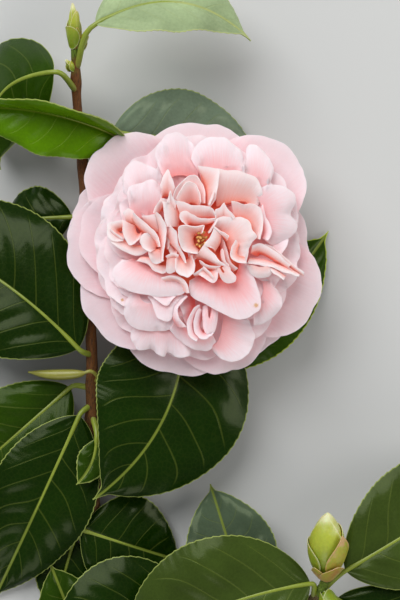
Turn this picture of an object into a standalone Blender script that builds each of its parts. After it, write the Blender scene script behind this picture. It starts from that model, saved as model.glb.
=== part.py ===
"""Cut branch of a camellia, lying on its leaves with its one double bloom facing up.

Sizes are in millimetres in the tables below and become metres as each shape is made.
The branch is laid out on the floor: +Z is up, +Y runs from the cut end to the branch's tip.
Heights are above the floor. Every leaf, bud and side shoot names the limb that it grows from.
"""

import math
import random

import bmesh
import bpy
from mathutils import Matrix, Vector

MM = 0.001
UP = Vector((0.0, 0.0, 1.0))
CLEAR = 0.35  # gap between a piece and the limb that carries it
SEED = 27

# The floor under the middle of the whole branch, measured from the floor point under the bloom.
MIDDLE = Vector((2.1, -35.0, -0.6))

BLADE_THICK = 1.1
PETAL_THICK = 1.3
SCALE_THICK = 0.9
STALK_RADII = (1.35, 0.95)  # a leaf stalk at the limb and under the blade

# A blade's outline, in shares of its length and of its half width.
BODY_END = 0.94  # where the egg-shaped body closes
POINT_START, POINT_HALF = 0.86, 0.16  # the short drawn-out point
BASE_HALF = 0.035


# ---------------------------------------------------------------- scene and materials


def clear_scene():
    for obj in list(bpy.data.objects):
        bpy.data.objects.remove(obj, do_unlink=True)


def new_collection(name, hidden=False):
    made = bpy.data.collections.new(name)
    made.hide_render = hidden
    bpy.context.scene.collection.children.link(made)
    return made


def finish(name, colour, roughness):
    material = bpy.data.materials.new(name)
    material.use_nodes = True
    shader = material.node_tree.nodes["Principled BSDF"]
    shader.inputs["Base Color"].default_value = (*colour, 1.0)
    shader.inputs["Roughness"].default_value = roughness
    shader.inputs["Metallic"].default_value = 0.0
    return material


# ---------------------------------------------------------------- solids and Booleans


def add_object(name, data, collection, material=None):
    obj = bpy.data.objects.new(name, data)
    collection.objects.link(obj)
    if material:
        data.materials.clear()
        data.materials.append(material)
    return obj


def add_shape(name, shape, collection, material=None):
    """Makes the bmesh an object, and frees it."""
    mesh = bpy.data.meshes.new(name)
    shape.to_mesh(mesh)
    shape.free()
    return add_object(name, mesh, collection, material)


def as_mesh(obj, weld=0.0):
    """Turns obj, with its modifiers or its curve's bevel, into a plain mesh object in its place."""
    bpy.context.view_layer.update()
    evaluated = obj.evaluated_get(bpy.context.evaluated_depsgraph_get())
    mesh = bpy.data.meshes.new_from_object(evaluated)
    if weld:
        shape = bmesh.new()
        shape.from_mesh(mesh)
        bmesh.ops.remove_doubles(shape, verts=shape.verts, dist=weld)
        bmesh.ops.recalc_face_normals(shape, faces=shape.faces)
        shape.to_mesh(mesh)
        shape.free()
    name, collection = obj.name, obj.users_collection[0]
    material, matrix = obj.active_material, obj.matrix_world.copy()
    bpy.data.objects.remove(obj, do_unlink=True)
    made = add_object(name, mesh, collection, material)
    made.matrix_world = matrix
    return made


def combine(obj, others, operation, solver="EXACT"):
    """Joins others to obj, or cuts them from it, and applies the result."""
    tools = bpy.data.collections.new("tools")
    bpy.context.scene.collection.children.link(tools)
    for other in others:
        tools.objects.link(other)
    modifier = obj.modifiers.new(operation.lower(), "BOOLEAN")
    modifier.operation = operation
    modifier.operand_type = "COLLECTION"
    modifier.collection = tools
    modifier.solver = solver
    made = as_mesh(obj)
    for other in others:
        tools.objects.unlink(other)
    bpy.data.collections.remove(tools)
    return made


def discard(objects):
    for obj in objects:
        bpy.data.objects.remove(obj, do_unlink=True)


def shells_of(shape):
    """The mesh's separate closed surfaces, each as a list of faces."""
    unseen = set(shape.faces)
    shells = []
    while unseen:
        todo = [unseen.pop()]
        shell = []
        while todo:
            face = todo.pop()
            shell.append(face)
            for edge in face.edges:
                for beside in edge.link_faces:
                    if beside in unseen:
                        unseen.discard(beside)
                        todo.append(beside)
        shells.append(shell)
    return shells


def keep_outer_shell(obj):
    """Fills the hollows that fusing sealed and drops loose scraps, by keeping the largest surface."""
    shape = bmesh.new()
    shape.from_mesh(obj.data)
    shells = sorted(shells_of(shape), key=lambda shell: sum(face.calc_area() for face in shell))
    for shell in shells[:-1]:
        bmesh.ops.delete(shape, geom=shell, context="FACES")
    shape.to_mesh(obj.data)
    shape.free()
    return obj


def thickened(sheet, thick):
    """Gives the open sheet its thickness, half to each side."""
    wall = sheet.modifiers.new("thickness", "SOLIDIFY")
    wall.thickness = thick * MM
    wall.offset = 0.0
    return as_mesh(sheet)


# ---------------------------------------------------------------- limbs


def smooth_route(points, steps):
    """Points along a Catmull-Rom curve through the given points."""
    ends = [2 * points[0] - points[1], *points, 2 * points[-1] - points[-2]]
    route = []
    for i in range(1, len(ends) - 2):
        a, b, c, d = ends[i - 1 : i + 3]
        for k in range(steps):
            t = k / steps
            route.append(
                0.5
                * (
                    2 * b
                    + (c - a) * t
                    + (2 * a - 5 * b + 4 * c - d) * t * t
                    + (3 * b - a - 3 * c + d) * t**3
                )
            )
    route.append(points[-1].copy())
    return route


class Limb:
    """A tapering limb: its smooth route, its radius along it and where its leaves sit."""

    def __init__(self, points, radii, nodes=(), steps=3):
        self.route = smooth_route([Vector(p) for p in points], steps)
        self.radii = radii
        self.nodes = nodes

    def radius(self, t):
        """Straight taper from foot to tip, with a low swelling at each leaf node."""
        foot, tip = self.radii
        swelling = max((math.exp(-(((t - node) / 0.018) ** 2)) for node in self.nodes), default=0.0)
        return foot + (tip - foot) * t + 0.45 * swelling

    def at(self, t):
        """The point a share t of the way along the route."""
        lengths = [0.0]
        for a, b in zip(self.route, self.route[1:]):
            lengths.append(lengths[-1] + (b - a).length)
        wanted = t * lengths[-1]
        for i, (a, b) in enumerate(zip(self.route, self.route[1:])):
            if wanted <= lengths[i + 1] or i == len(self.route) - 2:
                part = (wanted - lengths[i]) / max(lengths[i + 1] - lengths[i], 1e-9)
                return a.lerp(b, min(part, 1.0))
        return self.route[-1]


def tube(name, route, radii, collection, material, resolution=3):
    """A round limb along the route, as a curve with a bevel and filled caps, made a mesh."""
    curve = bpy.data.curves.new(name, "CURVE")
    curve.dimensions = "3D"
    curve.bevel_depth = MM
    curve.bevel_resolution = resolution
    curve.use_fill_caps = True
    spline = curve.splines.new("POLY")
    spline.points.add(len(route) - 1)
    for point, place, radius in zip(spline.points, route, radii):
        point.co = (*(place * MM), 1.0)
        point.radius = radius
    return as_mesh(add_object(name, curve, collection, material), weld=0.01 * MM)


def limb_solid(name, limb, collection, material, extra=0.0, resolution=3):
    """The limb as a solid, grown on all sides by extra."""
    last = len(limb.route) - 1
    radii = [limb.radius(i / last) + extra for i in range(last + 1)]
    route = [place.copy() for place in limb.route]
    route[0] += (route[0] - route[1]).normalized() * extra
    route[-1] += (route[-1] - route[-2]).normalized() * extra
    return tube(name, route, radii, collection, material, resolution)


# Where the bloom sits and how it leans, in degrees about X and Y.
BLOOM_AT = Vector((0.0, 0.0, 22.0))
BLOOM_LEAN = (
    Matrix.Rotation(math.radians(-7.0), 3, "X") @ Matrix.Rotation(math.radians(5.0), 3, "Y")
)

# The stem and its two side shoots: route, radius at foot and tip, and shares of its length with a leaf node.
STEM = Limb(
    [
        (-28, -181, 3.0),
        (-34, -156, 3.2),
        (-39.5, -132, 3.8),
        (-41, -106, 4.8),
        (-41.5, -82, 8),
        (-41, -60, 14.5),
        (-41, -40, 18.5),
        (-42.5, -6, 19.5),
        (-44.3, 34, 20),
        (-46.5, 59, 23),
        (-47, 80, 28),
    ],
    (3.3, 1.6),
    nodes=(0.14, 0.30, 0.47, 0.54, 0.70, 0.80, 0.94),
)
BLOOM_SHOOT = Limb(
    [
        (-40, -94, 6),
        (-24, -75, 4.5),
        (-6, -54, 5),
        (0.5, -28, 7),
        (0, -10, 10.5),
        BLOOM_AT - BLOOM_LEAN @ UP * 6,
        BLOOM_AT - BLOOM_LEAN @ UP * 3,
        BLOOM_AT - BLOOM_LEAN @ UP * (CLEAR + 0.1),
    ],
    (2.0, 2.3),
    nodes=(0.48, 0.86),
)
BUD_SHOOT = Limb(
    [(-34, -155, 3.2), (-12, -160, 5), (12, -155, 9), (34, -145, 16), (48, -135.5, 23), (51, -129, 27)],
    (2.3, 1.9),
    nodes=(0.30, 0.52, 0.90),
)
LIMBS = {"stem": STEM, "bloom_shoot": BLOOM_SHOOT, "bud_shoot": BUD_SHOOT}


# ---------------------------------------------------------------- leaves


class Leaf:
    """One leaf: the limb and share of it that carries it, its blade's start, tip and width, and its form.

    arch lifts the middle of the blade, sweep bends it sideways and wave ripples its edges, in
    millimetres. roll turns the blade about its own line and fold raises its two halves, in degrees.
    """

    def __init__(self, limb, share, start, tip, width, arch=8, roll=0, sweep=0, fold=8, wave=0.8):
        self.limb, self.share = limb, share
        self.start, self.tip = Vector(start), Vector(tip)
        self.half = width / 2
        self.arch, self.sweep, self.wave = arch, sweep, wave
        self.fold = math.radians(fold)
        line = (self.tip - self.start).normalized()
        self.side = Matrix.Rotation(math.radians(roll), 3, line) @ line.cross(UP).normalized()
        self.face = self.side.cross(line).normalized()

    def midrib(self, t):
        """The midrib's point a share t of the way from the blade's start to its tip."""
        bow = 4 * t * (1 - t)
        return self.start.lerp(self.tip, t) + (self.face * self.arch + self.side * self.sweep) * bow

    def outline(self, t):
        """Half the blade's width: fullest a little below the middle, drawn out into a short point."""
        body = math.sin(math.pi * min(t / BODY_END, 1.0) ** 0.86) ** 0.72
        point = POINT_HALF * min((1 - t) / (1 - POINT_START), 1.0) if t > 0.5 else 0.0
        return self.half * max(body, point, BASE_HALF)

    def place(self, across, t):
        """The blade's middle surface: across runs -1 to 1 from edge to edge."""
        width = self.outline(t)
        ahead = min(t + 0.01, 1.0)
        along = (self.midrib(ahead) - self.midrib(ahead - 0.02)).normalized()
        side = (self.side - along * self.side.dot(along)).normalized()
        ripple = self.wave * across**2 * math.sin(6.2 * math.pi * t + 1.3 * across)
        curl = (ripple - 0.16 * self.half * across**4) * width / self.half
        rise = abs(width * across) * math.sin(self.fold) + curl
        return self.midrib(t) + side * (width * across * math.cos(self.fold)) + side.cross(along) * rise


LEAVES = {
    "leaf_crown_right": Leaf(
        "stem", 0.965, (-38.5, 88, 35), (22, 83, 24), 32, arch=9, roll=-30, sweep=-8, fold=14
    ),
    "leaf_crown_left": Leaf(
        "stem", 0.935, (-55, 69.5, 34), (-78, 33, 11), 50, arch=5, roll=26, sweep=14, fold=-24
    ),
    "leaf_over_stem": Leaf(
        "stem", 0.82, (-28, 44, 25), (-93, 56, 25), 36, arch=5, roll=-44, sweep=10, fold=44
    ),
    "leaf_behind_top": Leaf("stem", 0.76, (-33, 48, 13), (26, 42, 0), 40, arch=6, fold=4),
    "leaf_behind_left": Leaf("stem", 0.71, (-49, 14, 15), (-80, 13, 2), 26, arch=6, fold=-6),
    "leaf_broad_left": Leaf(
        "stem", 0.54, (-46, -38, 25), (-127, 10, 0), 60, arch=9, roll=4, sweep=7, fold=7
    ),
    "leaf_middle_left": Leaf("stem", 0.49, (-50, -54, 13), (-112, -108, 0), 42, arch=6, fold=12),
    "leaf_long_left": Leaf("stem", 0.465, (-46, -65, 18), (-82, -141, 0), 42, arch=6, roll=-4, fold=4),
    "leaf_tucked": Leaf(
        "stem", 0.45, (-39, -74, 20), (-47, -92, 20.9), 12, arch=0, sweep=-2, fold=4, wave=0.3
    ),
    "leaf_under_bloom": Leaf(
        "bloom_shoot", 0.86, (-5, -20, 14), (-40.5, -98, 19.5), 62, arch=8.5, roll=-9, sweep=-11
    ),
    "leaf_behind_right": Leaf("bloom_shoot", 0.48, (3, -45, 7.5), (54, 9, 0), 38, arch=7.5, sweep=5, fold=6),
    "leaf_low_inner": Leaf("stem", 0.22, (-45.5, -111, 10.2), (-5, -125, 1), 40, arch=1, fold=3),
    "leaf_low_back": Leaf("stem", 0.30, (-49, -116, 3.5), (-58, -147, 0.3), 24, arch=0.5, fold=4),
    "leaf_foot": Leaf("stem", 0.05, (-42, -166, 3.2), (-58.5, -125, 5), 28, arch=1.5, fold=6),
    "leaf_low_left": Leaf(
        "bud_shoot", 0.40, (-3, -138, 9), (-59, -160, 10.5), 44, arch=4, roll=2, sweep=4, fold=5
    ),
    "leaf_pointed": Leaf("bud_shoot", 0.52, (21, -140, 11), (6, -93, 6), 38, arch=4, fold=18),
    "leaf_bud_left": Leaf("bud_shoot", 0.90, (45, -130, 28), (-30, -164, 14.5), 55, arch=9, sweep=7),
    "leaf_bud_right": Leaf("bud_shoot", 0.95, (59, -125, 27), (131, -82, 0), 50, arch=10, fold=9),
    "leaf_bud_low": Leaf("bud_shoot", 0.86, (56, -137, 21), (115, -173, 0), 40, fold=10),
}


def leaf_blade(name, leaf, collection, material, columns=4, rows=7):
    shape = bmesh.new()
    bmesh.ops.create_grid(shape, x_segments=columns, y_segments=rows, size=1.0)
    for vert in shape.verts:
        vert.co = leaf.place(vert.co.x, (vert.co.y + 1) / 2) * MM
    bmesh.ops.recalc_face_normals(shape, faces=shape.faces)
    return thickened(add_shape(name, shape, collection, material), BLADE_THICK)


def petiole_route(leaf, steps=4):
    """From the limb's middle, curving round into the blade's line, then a little way under its midrib."""
    foot, start = LIMBS[leaf.limb].at(leaf.share), leaf.midrib(0.0)
    inside = leaf.midrib(0.14)
    leave = start - foot
    arrive = (inside - start).normalized() * leave.length
    route = []
    for i in range(steps + 1):
        t = i / steps
        ease = t * t * (3 - 2 * t)
        route.append(foot.lerp(start, ease) + leave * (t * (1 - t) ** 2) - arrive * (t * t * (1 - t)))
    route.append(inside)
    return [place - leaf.face * (0.35 * i / (len(route) - 1)) for i, place in enumerate(route)]


def leaf_solid(name, leaf, cutters, collection, material):
    """The blade fused with its stalk, cut clear of the limb that carries it."""
    blade = leaf_blade(name, leaf, collection, material)
    route = petiole_route(leaf)
    wide, slim = STALK_RADII
    radii = [wide + (slim - wide) * i / (len(route) - 1) for i in range(len(route))]
    stalk = tube(name + "_stalk", route, radii, collection, material, resolution=1)
    made = combine(blade, [stalk], "UNION", "MANIFOLD")
    discard([stalk])
    made = combine(made, [cutters[leaf.limb]], "DIFFERENCE", "MANIFOLD")
    return keep_outer_shell(made)


# ---------------------------------------------------------------- bloom


class Petal:
    """One petal of a whorl, in the bloom's own frame: it leaves the axis at foot and height.

    bearing is its direction round the bloom and reach how far out its tip comes. rise and fall are
    its angles from the axis at its foot and tip. roll tips one side over its neighbour, cup hollows
    it and ruffle waves its edge, lobes times round. Angles are in degrees.
    """

    def __init__(self, bearing, reach, width, rise, fall, foot, height, roll, cup, ruffle, lobes=4):
        self.turn, self.roll = math.radians(bearing), math.radians(roll)
        self.rise, self.swing = math.radians(rise), math.radians(fall - rise)
        self.foot, self.height, self.half = foot, height, width / 2
        self.cup, self.ruffle, self.lobes = cup, ruffle, lobes
        self.phase = random.Random(SEED + round(bearing * 10 + reach)).uniform(0, 2 * math.pi)
        spread = math.cos(self.rise) - math.cos(self.rise + self.swing)
        self.bend = (reach - foot) / spread  # radius of the petal's own curve

    def place(self, x, y):
        """A point of the petal from its place on a unit disc, with the foot at y = -1."""
        share = (y + 1) / 2
        slope = self.rise + self.swing * share
        out = self.foot + self.bend * (math.cos(self.rise) - math.cos(slope))
        up = self.height + self.bend * (math.sin(slope) - math.sin(self.rise))
        radial = Vector((math.cos(self.turn), math.sin(self.turn), 0.0))
        side = Vector((-math.sin(self.turn), math.cos(self.turn), 0.0))
        face = UP * math.sin(slope) - radial * math.cos(slope)
        across = side * math.cos(self.roll) + face * math.sin(self.roll)
        face = face * math.cos(self.roll) - side * math.sin(self.roll)
        width = self.half * (0.82 + 0.3 * share)
        edge = max(0.0, math.hypot(x, y) - 0.3) / 0.7
        wave = self.ruffle * edge * share * math.sin(self.lobes * math.atan2(x, y + 0.5) + self.phase)
        bowl = self.cup * width * x * x
        return radial * out + UP * up + across * (width * x) + face * (bowl + wave)


def disc_place(a, b):
    """Maps the square from -1 to 1 onto the unit disc."""
    return a * math.sqrt(1 - b * b / 2), b * math.sqrt(1 - a * a / 2)


# Each whorl: the petals' bearings and reaches, the squares across each petal, then the form they share.
WHORLS = {
    "guard_back": dict(
        petals=[(157, 49), (-163, 46), (5, 44), (-72, 49), (84, 49)],
        squares=4, width=44, rise=58, fall=104, foot=2.5, height=2.5, roll=3, cup=0.04, ruffle=1.0, lobes=3,
    ),
    "guard_front": dict(
        petals=[(130, 52), (178, 48), (-138, 48), (-101, 47), (-25, 51), (45, 52)],
        squares=4, width=45, rise=52, fall=104, foot=2.5, height=4.0, roll=5, cup=0.03, ruffle=1.2, lobes=3,
    ),
    "second": dict(
        petals=[(172, 43), (146, 41), (116, 43), (86, 44), (60, 46), (28, 43), (0, 40),
                (-30, 41), (-60, 42), (-90, 41), (-120, 42), (-152, 42)],
        squares=3, width=33, rise=36, fall=104, foot=2.5, height=6.0, roll=8, cup=0.02, ruffle=1.8, lobes=4,
    ),
    "third": dict(
        petals=[(160, 33), (126, 32), (90, 33), (52, 32), (14, 34), (-24, 33), (-60, 34),
                (-98, 34), (-132, 31), (-168, 31)],
        squares=3, width=28, rise=16, fall=100, foot=2.5, height=8.0, roll=11, cup=0.02, ruffle=2.2, lobes=5,
    ),
    "heart": dict(
        petals=[(145, 22), (95, 21), (45, 20), (-8, 23), (-60, 21), (-110, 21), (-165, 22)],
        squares=3, width=19, rise=2, fall=82, foot=2.0, height=10.0, roll=16, cup=0.05, ruffle=2.0, lobes=5,
    ),
    "centre": dict(
        petals=[(120, 11), (0, 11), (-120, 11)],
        squares=2, width=12, rise=-4, fall=60, foot=1.0, height=12.0, roll=20, cup=0.1, ruffle=1.0, lobes=4,
    ),
}
CALYX = dict(
    petals=[(20, 11), (92, 10.5), (164, 11), (236, 10.5), (308, 11)],
    squares=2, width=10, rise=88, fall=78, foot=1.0, height=0.7, roll=4, cup=0.06, ruffle=0.0,
)
BRACTS = dict(
    petals=[(-40, 5.6), (80, 5.2), (200, 5.4)],
    squares=2, width=8, rise=62, fall=-8, foot=0.8, height=0.8, roll=6, cup=0.16, ruffle=0.0,
)


def whorl_solids(name, whorl, thick, matrix, collection):
    """The whorl's petals or scales as separate closed blades."""
    shared = {key: value for key, value in whorl.items() if key not in ("petals", "squares")}
    squares = whorl["squares"]
    blades = []
    for i, (bearing, reach) in enumerate(whorl["petals"]):
        petal = Petal(bearing, reach, **shared)
        shape = bmesh.new()
        bmesh.ops.create_grid(shape, x_segments=squares, y_segments=squares, size=1.0)
        for vert in shape.verts:
            vert.co = petal.place(*disc_place(vert.co.x, vert.co.y)) * MM
        sheet = add_shape(f"{name}_{i}", shape, collection)
        sheet.matrix_world = matrix
        blades.append(thickened(sheet, thick))
    return blades


def cushion(name, radius, height, low, matrix, collection, material):
    """The low dome that a ring of petals or scales grows from."""
    shape = bmesh.new()
    bmesh.ops.create_cone(
        shape, cap_ends=True, segments=12, radius1=radius * MM, radius2=radius * 0.7 * MM, depth=height * MM
    )
    bmesh.ops.translate(shape, verts=shape.verts, vec=(0, 0, (low + height / 2) * MM))
    dome = add_shape(name, shape, collection, material)
    dome.matrix_world = matrix
    return dome


def fused(base, blades):
    made = combine(base, blades, "UNION", "MANIFOLD")
    discard(blades)
    return keep_outer_shell(made)


def bloom_solids(collection, petal_pink, scale_green):
    """The bloom, all its petals on one cushion, and the calyx of scales behind it."""
    matrix = Matrix.Translation(BLOOM_AT * MM) @ BLOOM_LEAN.to_4x4()
    petals = []
    for name, whorl in WHORLS.items():
        petals += whorl_solids(name, whorl, PETAL_THICK, matrix, collection)
    fused(cushion("bloom", 5.0, 15.0, 2.2, matrix, collection, petal_pink), petals)
    scales = whorl_solids("scale", CALYX, SCALE_THICK, matrix, collection)
    fused(cushion("bloom_calyx", 4.4, 1.6, 0.0, matrix, collection, scale_green), scales)


# ---------------------------------------------------------------- buds and the young leaf


class Bud:
    """An egg-shaped bud on a limb, from its base to its tip; bracts says whether scales ring its base."""

    def __init__(self, limb, base, tip, width, fullest=0.45, bracts=False):
        self.limb, self.base, self.tip = limb, Vector(base), Vector(tip)
        self.width, self.fullest, self.bracts = width, fullest, bracts

    def matrix(self):
        axis = self.tip - self.base
        return Matrix.Translation(self.base * MM) @ axis.to_track_quat("Z", "Y").to_matrix().to_4x4()


# The two buds that end a limb start just past it; the others are cut clear of the limb they sit on.
BUDS = {
    "terminal_bud": Bud(None, STEM.route[-1] + Vector((0, 0.45, 0.2)), (-47.5, 96.5, 33), 4.6),
    "side_bud_high": Bud("stem", (-46, 77.5, 27.2), (-42, 87, 29.6), 2.9),
    "side_bud_low": Bud("stem", (-47.3, 70.5, 25.5), (-50.5, 75, 29.5), 2.6),
    "flower_bud": Bud(
        None,
        BUD_SHOOT.route[-1] + Vector((0.1, 0.5, 0.35)),
        (51.2, -101, 38.5),
        15,
        fullest=0.54,
        bracts=True,
    ),
    "second_flower_bud": Bud("bud_shoot", (51, -132, 26), (56, -152, 31), 9.5, fullest=0.55),
}

# The young leaf is still rolled: a hooked stalk, then a spindle from SPINDLE_START of its length on.
YOUNG_LEAF = Limb(
    [
        (-40, -52, 16.5),
        (-38.5, -49.5, 21.5),
        (-41, -47, 24.5),
        (-45.5, -48, 24),
        (-56, -48.5, 22),
        (-66, -47.5, 20),
    ],
    (0.9, 0.4),
)
SPINDLE_START, SPINDLE_HALF = 0.5, 2.1


def bud_solid(name, bud, cutters, collection, material):
    """A globe drawn out to the bud's egg shape, with its scales fused on and its limb's room cut out."""
    length = (bud.tip - bud.base).length
    skew = math.log(0.5) / math.log(bud.fullest)
    shape = bmesh.new()
    bmesh.ops.create_uvsphere(shape, u_segments=12, v_segments=8, radius=1.0)
    for vert in shape.verts:
        along = min(max((vert.co.z + 1) / 2, 0.0), 1.0)
        around = math.atan2(vert.co.y, vert.co.x)
        wide = bud.width / 2 * abs(math.sin(math.pi * along**skew)) ** 0.8
        vert.co = Vector((math.cos(around) * wide, math.sin(around) * wide, along * length)) * MM
    made = add_shape(name, shape, collection, material)
    made.matrix_world = bud.matrix()
    if bud.bracts:
        made = fused(made, whorl_solids("bract", BRACTS, SCALE_THICK, bud.matrix(), collection))
    if bud.limb:
        made = keep_outer_shell(combine(made, [cutters[bud.limb]], "DIFFERENCE"))
    return made


def young_leaf_solid(name, cutters, collection, material):
    last = len(YOUNG_LEAF.route) - 1
    radii = []
    for i in range(last + 1):
        blade = max(0.0, (i / last - SPINDLE_START) / (1 - SPINDLE_START))
        spindle = SPINDLE_HALF * math.sin(math.pi * min(blade, 0.97)) ** 0.6
        radii.append(max(YOUNG_LEAF.radius(i / last), spindle))
    made = tube(name, YOUNG_LEAF.route, radii, collection, material, resolution=1)
    return keep_outer_shell(combine(made, [cutters["stem"]], "DIFFERENCE"))


# ---------------------------------------------------------------- the whole branch


def stand_on_origin(branch):
    """Hangs every piece on one empty that brings the floor under the branch's middle to the origin."""
    frame = bpy.data.objects.new("branch_frame", None)
    branch.objects.link(frame)
    frame.location = -MIDDLE * MM
    for obj in branch.objects:
        if obj.type == "MESH":
            obj.parent = frame


def main():
    clear_scene()
    branch = new_collection("camellia_branch")
    cutters_in = new_collection("cutters", hidden=True)
    bark = finish("bark", (0.20, 0.11, 0.06), 0.75)
    leaf_green = finish("leaf_green", (0.05, 0.13, 0.02), 0.35)
    petal_pink = finish("petal_pink", (0.86, 0.60, 0.62), 0.6)
    young_green = finish("young_green", (0.42, 0.46, 0.06), 0.45)
    scale_green = finish("scale_green", (0.36, 0.40, 0.10), 0.55)

    cutters = {}
    for name, limb in LIMBS.items():
        cutters[name] = limb_solid("cutter_" + name, limb, cutters_in, None, extra=CLEAR, resolution=3)
        cutters[name].hide_render = True
        cutters[name].display_type = "WIRE"

    limb_solid("stem", STEM, branch, bark)
    for name in ("bloom_shoot", "bud_shoot"):
        side = limb_solid(name, LIMBS[name], branch, bark, resolution=2)
        keep_outer_shell(combine(side, [cutters["stem"]], "DIFFERENCE"))
    for name, leaf in LEAVES.items():
        leaf_solid(name, leaf, cutters, branch, leaf_green)
    young_leaf_solid("leaf_young", cutters, branch, young_green)
    bloom_solids(branch, petal_pink, scale_green)
    for name, bud in BUDS.items():
        bud_solid(name, bud, cutters, branch, young_green)
    discard(cutters.values())
    stand_on_origin(branch)


if __name__ == "__main__":
    main()
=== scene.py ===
"""A cut camellia branch with one double bloom, lying on its leaves with the bloom facing up.

Sizes are in millimetres and become metres as each vertex is placed. The points of the stem, leaves,
petals and buds are measured from the floor under the bloom, with +Z up and +Y towards the branch's tip.
"""

import math
import random

import bmesh
import bpy
import numpy as np
from mathutils import Matrix, Vector, noise
from mathutils.bvhtree import BVHTree


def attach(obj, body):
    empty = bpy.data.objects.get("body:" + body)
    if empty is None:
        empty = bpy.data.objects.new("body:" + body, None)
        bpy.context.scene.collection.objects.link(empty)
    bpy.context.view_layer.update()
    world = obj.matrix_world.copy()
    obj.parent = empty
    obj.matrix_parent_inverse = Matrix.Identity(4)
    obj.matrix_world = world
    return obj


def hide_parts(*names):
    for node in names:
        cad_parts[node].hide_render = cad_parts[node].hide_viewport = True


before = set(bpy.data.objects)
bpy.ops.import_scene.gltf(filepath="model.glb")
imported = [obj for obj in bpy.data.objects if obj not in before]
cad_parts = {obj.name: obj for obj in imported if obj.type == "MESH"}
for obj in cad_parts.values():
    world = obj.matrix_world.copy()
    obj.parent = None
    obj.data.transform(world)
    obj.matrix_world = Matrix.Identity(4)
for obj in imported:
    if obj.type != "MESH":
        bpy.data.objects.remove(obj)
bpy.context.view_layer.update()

# ---------------------------------------------------------------- stem and side shoots
# One woody stem, cut off at its foot, with two shoots: the short one carries the bloom and the
# long one the flower buds. Young camellia wood is reddish brown with fine lengthwise cracks and
# small pale pores, swells at each leaf, and is still green near the tip.

MM = 0.001
UP = Vector((0.0, 0.0, 1.0))
MIDDLE = Vector((2.1, -35.0, -0.6))  # the frame's origin, seen from the floor point under the bloom
BLOOM_AT = Vector((0.0, 0.0, 22.0))
BLOOM_LEAN = Matrix.Rotation(math.radians(-7.0), 3, "X") @ Matrix.Rotation(math.radians(5.0), 3, "Y")
WOOD_SIDES = 28
WOOD_STEPS = 14
SEAM = 1e-6  # metres, far less than any edge and more than rounding
CRISP = math.radians(60)  # a sharper bend than this is an edge, not a curve
SWELLING, SWELLING_SPAN = 0.45, 0.018  # its height in millimetres, and its share of the length
BARK_THICK, WOOD_THICK, PITH_DEPTH = 0.45, 1.9, 0.12  # at the cut


def spot(point):
    """A point of the branch in the frame, in metres."""
    return (Vector(point) - MIDDLE) * MM


def smooth_step(value, low, high):
    """0 below low, 1 above high, and a smooth rise between."""
    share = min(max((value - low) / (high - low), 0.0), 1.0)
    return share * share * (3 - 2 * share)


def smooth_route(points, steps):
    """Points along a Catmull-Rom curve through the given points."""
    ends = [2 * points[0] - points[1], *points, 2 * points[-1] - points[-2]]
    route = []
    for i in range(1, len(ends) - 2):
        a, b, c, d = ends[i - 1 : i + 3]
        for k in range(steps):
            t = k / steps
            straight = 2 * b + (c - a) * t
            bend = (2 * a - 5 * b + 4 * c - d) * t * t + (3 * b - a - 3 * c + d) * t**3
            route.append((straight + bend) * 0.5)
    route.append(points[-1].copy())
    return route


class Limb:
    """A tapering limb: its smooth route, its radius at foot and tip, and where its leaves sit."""

    def __init__(self, points, radii, nodes=()):
        self.route = smooth_route([Vector(p) for p in points], WOOD_STEPS)
        self.radii, self.nodes = radii, nodes
        self.lengths = [0.0]
        for a, b in zip(self.route, self.route[1:]):
            self.lengths.append(self.lengths[-1] + (b - a).length)

    def swelling(self, t):
        return max((math.exp(-(((t - node) / SWELLING_SPAN) ** 2)) for node in self.nodes), default=0.0)

    def radius(self, t):
        foot, tip = self.radii
        return foot + (tip - foot) * t + SWELLING * self.swelling(t)

    def at(self, t):
        """The point a share t of the way along."""
        wanted = t * self.lengths[-1]
        for i in range(1, len(self.route)):
            if wanted <= self.lengths[i]:
                part = (wanted - self.lengths[i - 1]) / (self.lengths[i] - self.lengths[i - 1])
                return self.route[i - 1].lerp(self.route[i], part)
        return self.route[-1]


def frames_along(route):
    """Each point of the route with two directions square to it, carried along without twisting."""
    frames, side = [], None
    for i, place in enumerate(route):
        ahead = (route[min(i + 1, len(route) - 1)] - route[max(i - 1, 0)]).normalized()
        side = (side - ahead * side.dot(ahead)).normalized() if side else ahead.orthogonal().normalized()
        frames.append((place, side, ahead.cross(side)))
    return frames


def roll_up(shape, route, radius_at, sides):
    """Rolls a grid round the route into a closed tube, and gives back its faces.

    radius_at takes a share of the length and a turn round the route.
    """
    before = set(shape.faces)
    rings = len(route) - 1
    grid = bmesh.ops.create_grid(shape, x_segments=sides, y_segments=rings, size=1.0, calc_uvs=True)
    frames = frames_along(route)
    for vert in grid["verts"]:
        share, turn = (vert.co.y + 1) / 2, math.pi * vert.co.x
        place, side, face = frames[round(share * rings)]
        vert.co = spot(place + (side * math.cos(turn) + face * math.sin(turn)) * radius_at(share, turn))
    bmesh.ops.remove_doubles(shape, verts=grid["verts"], dist=SEAM)
    bmesh.ops.holes_fill(shape, edges=[edge for edge in shape.edges if edge.is_boundary], sides=0)
    return [face for face in shape.faces if face not in before]


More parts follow.
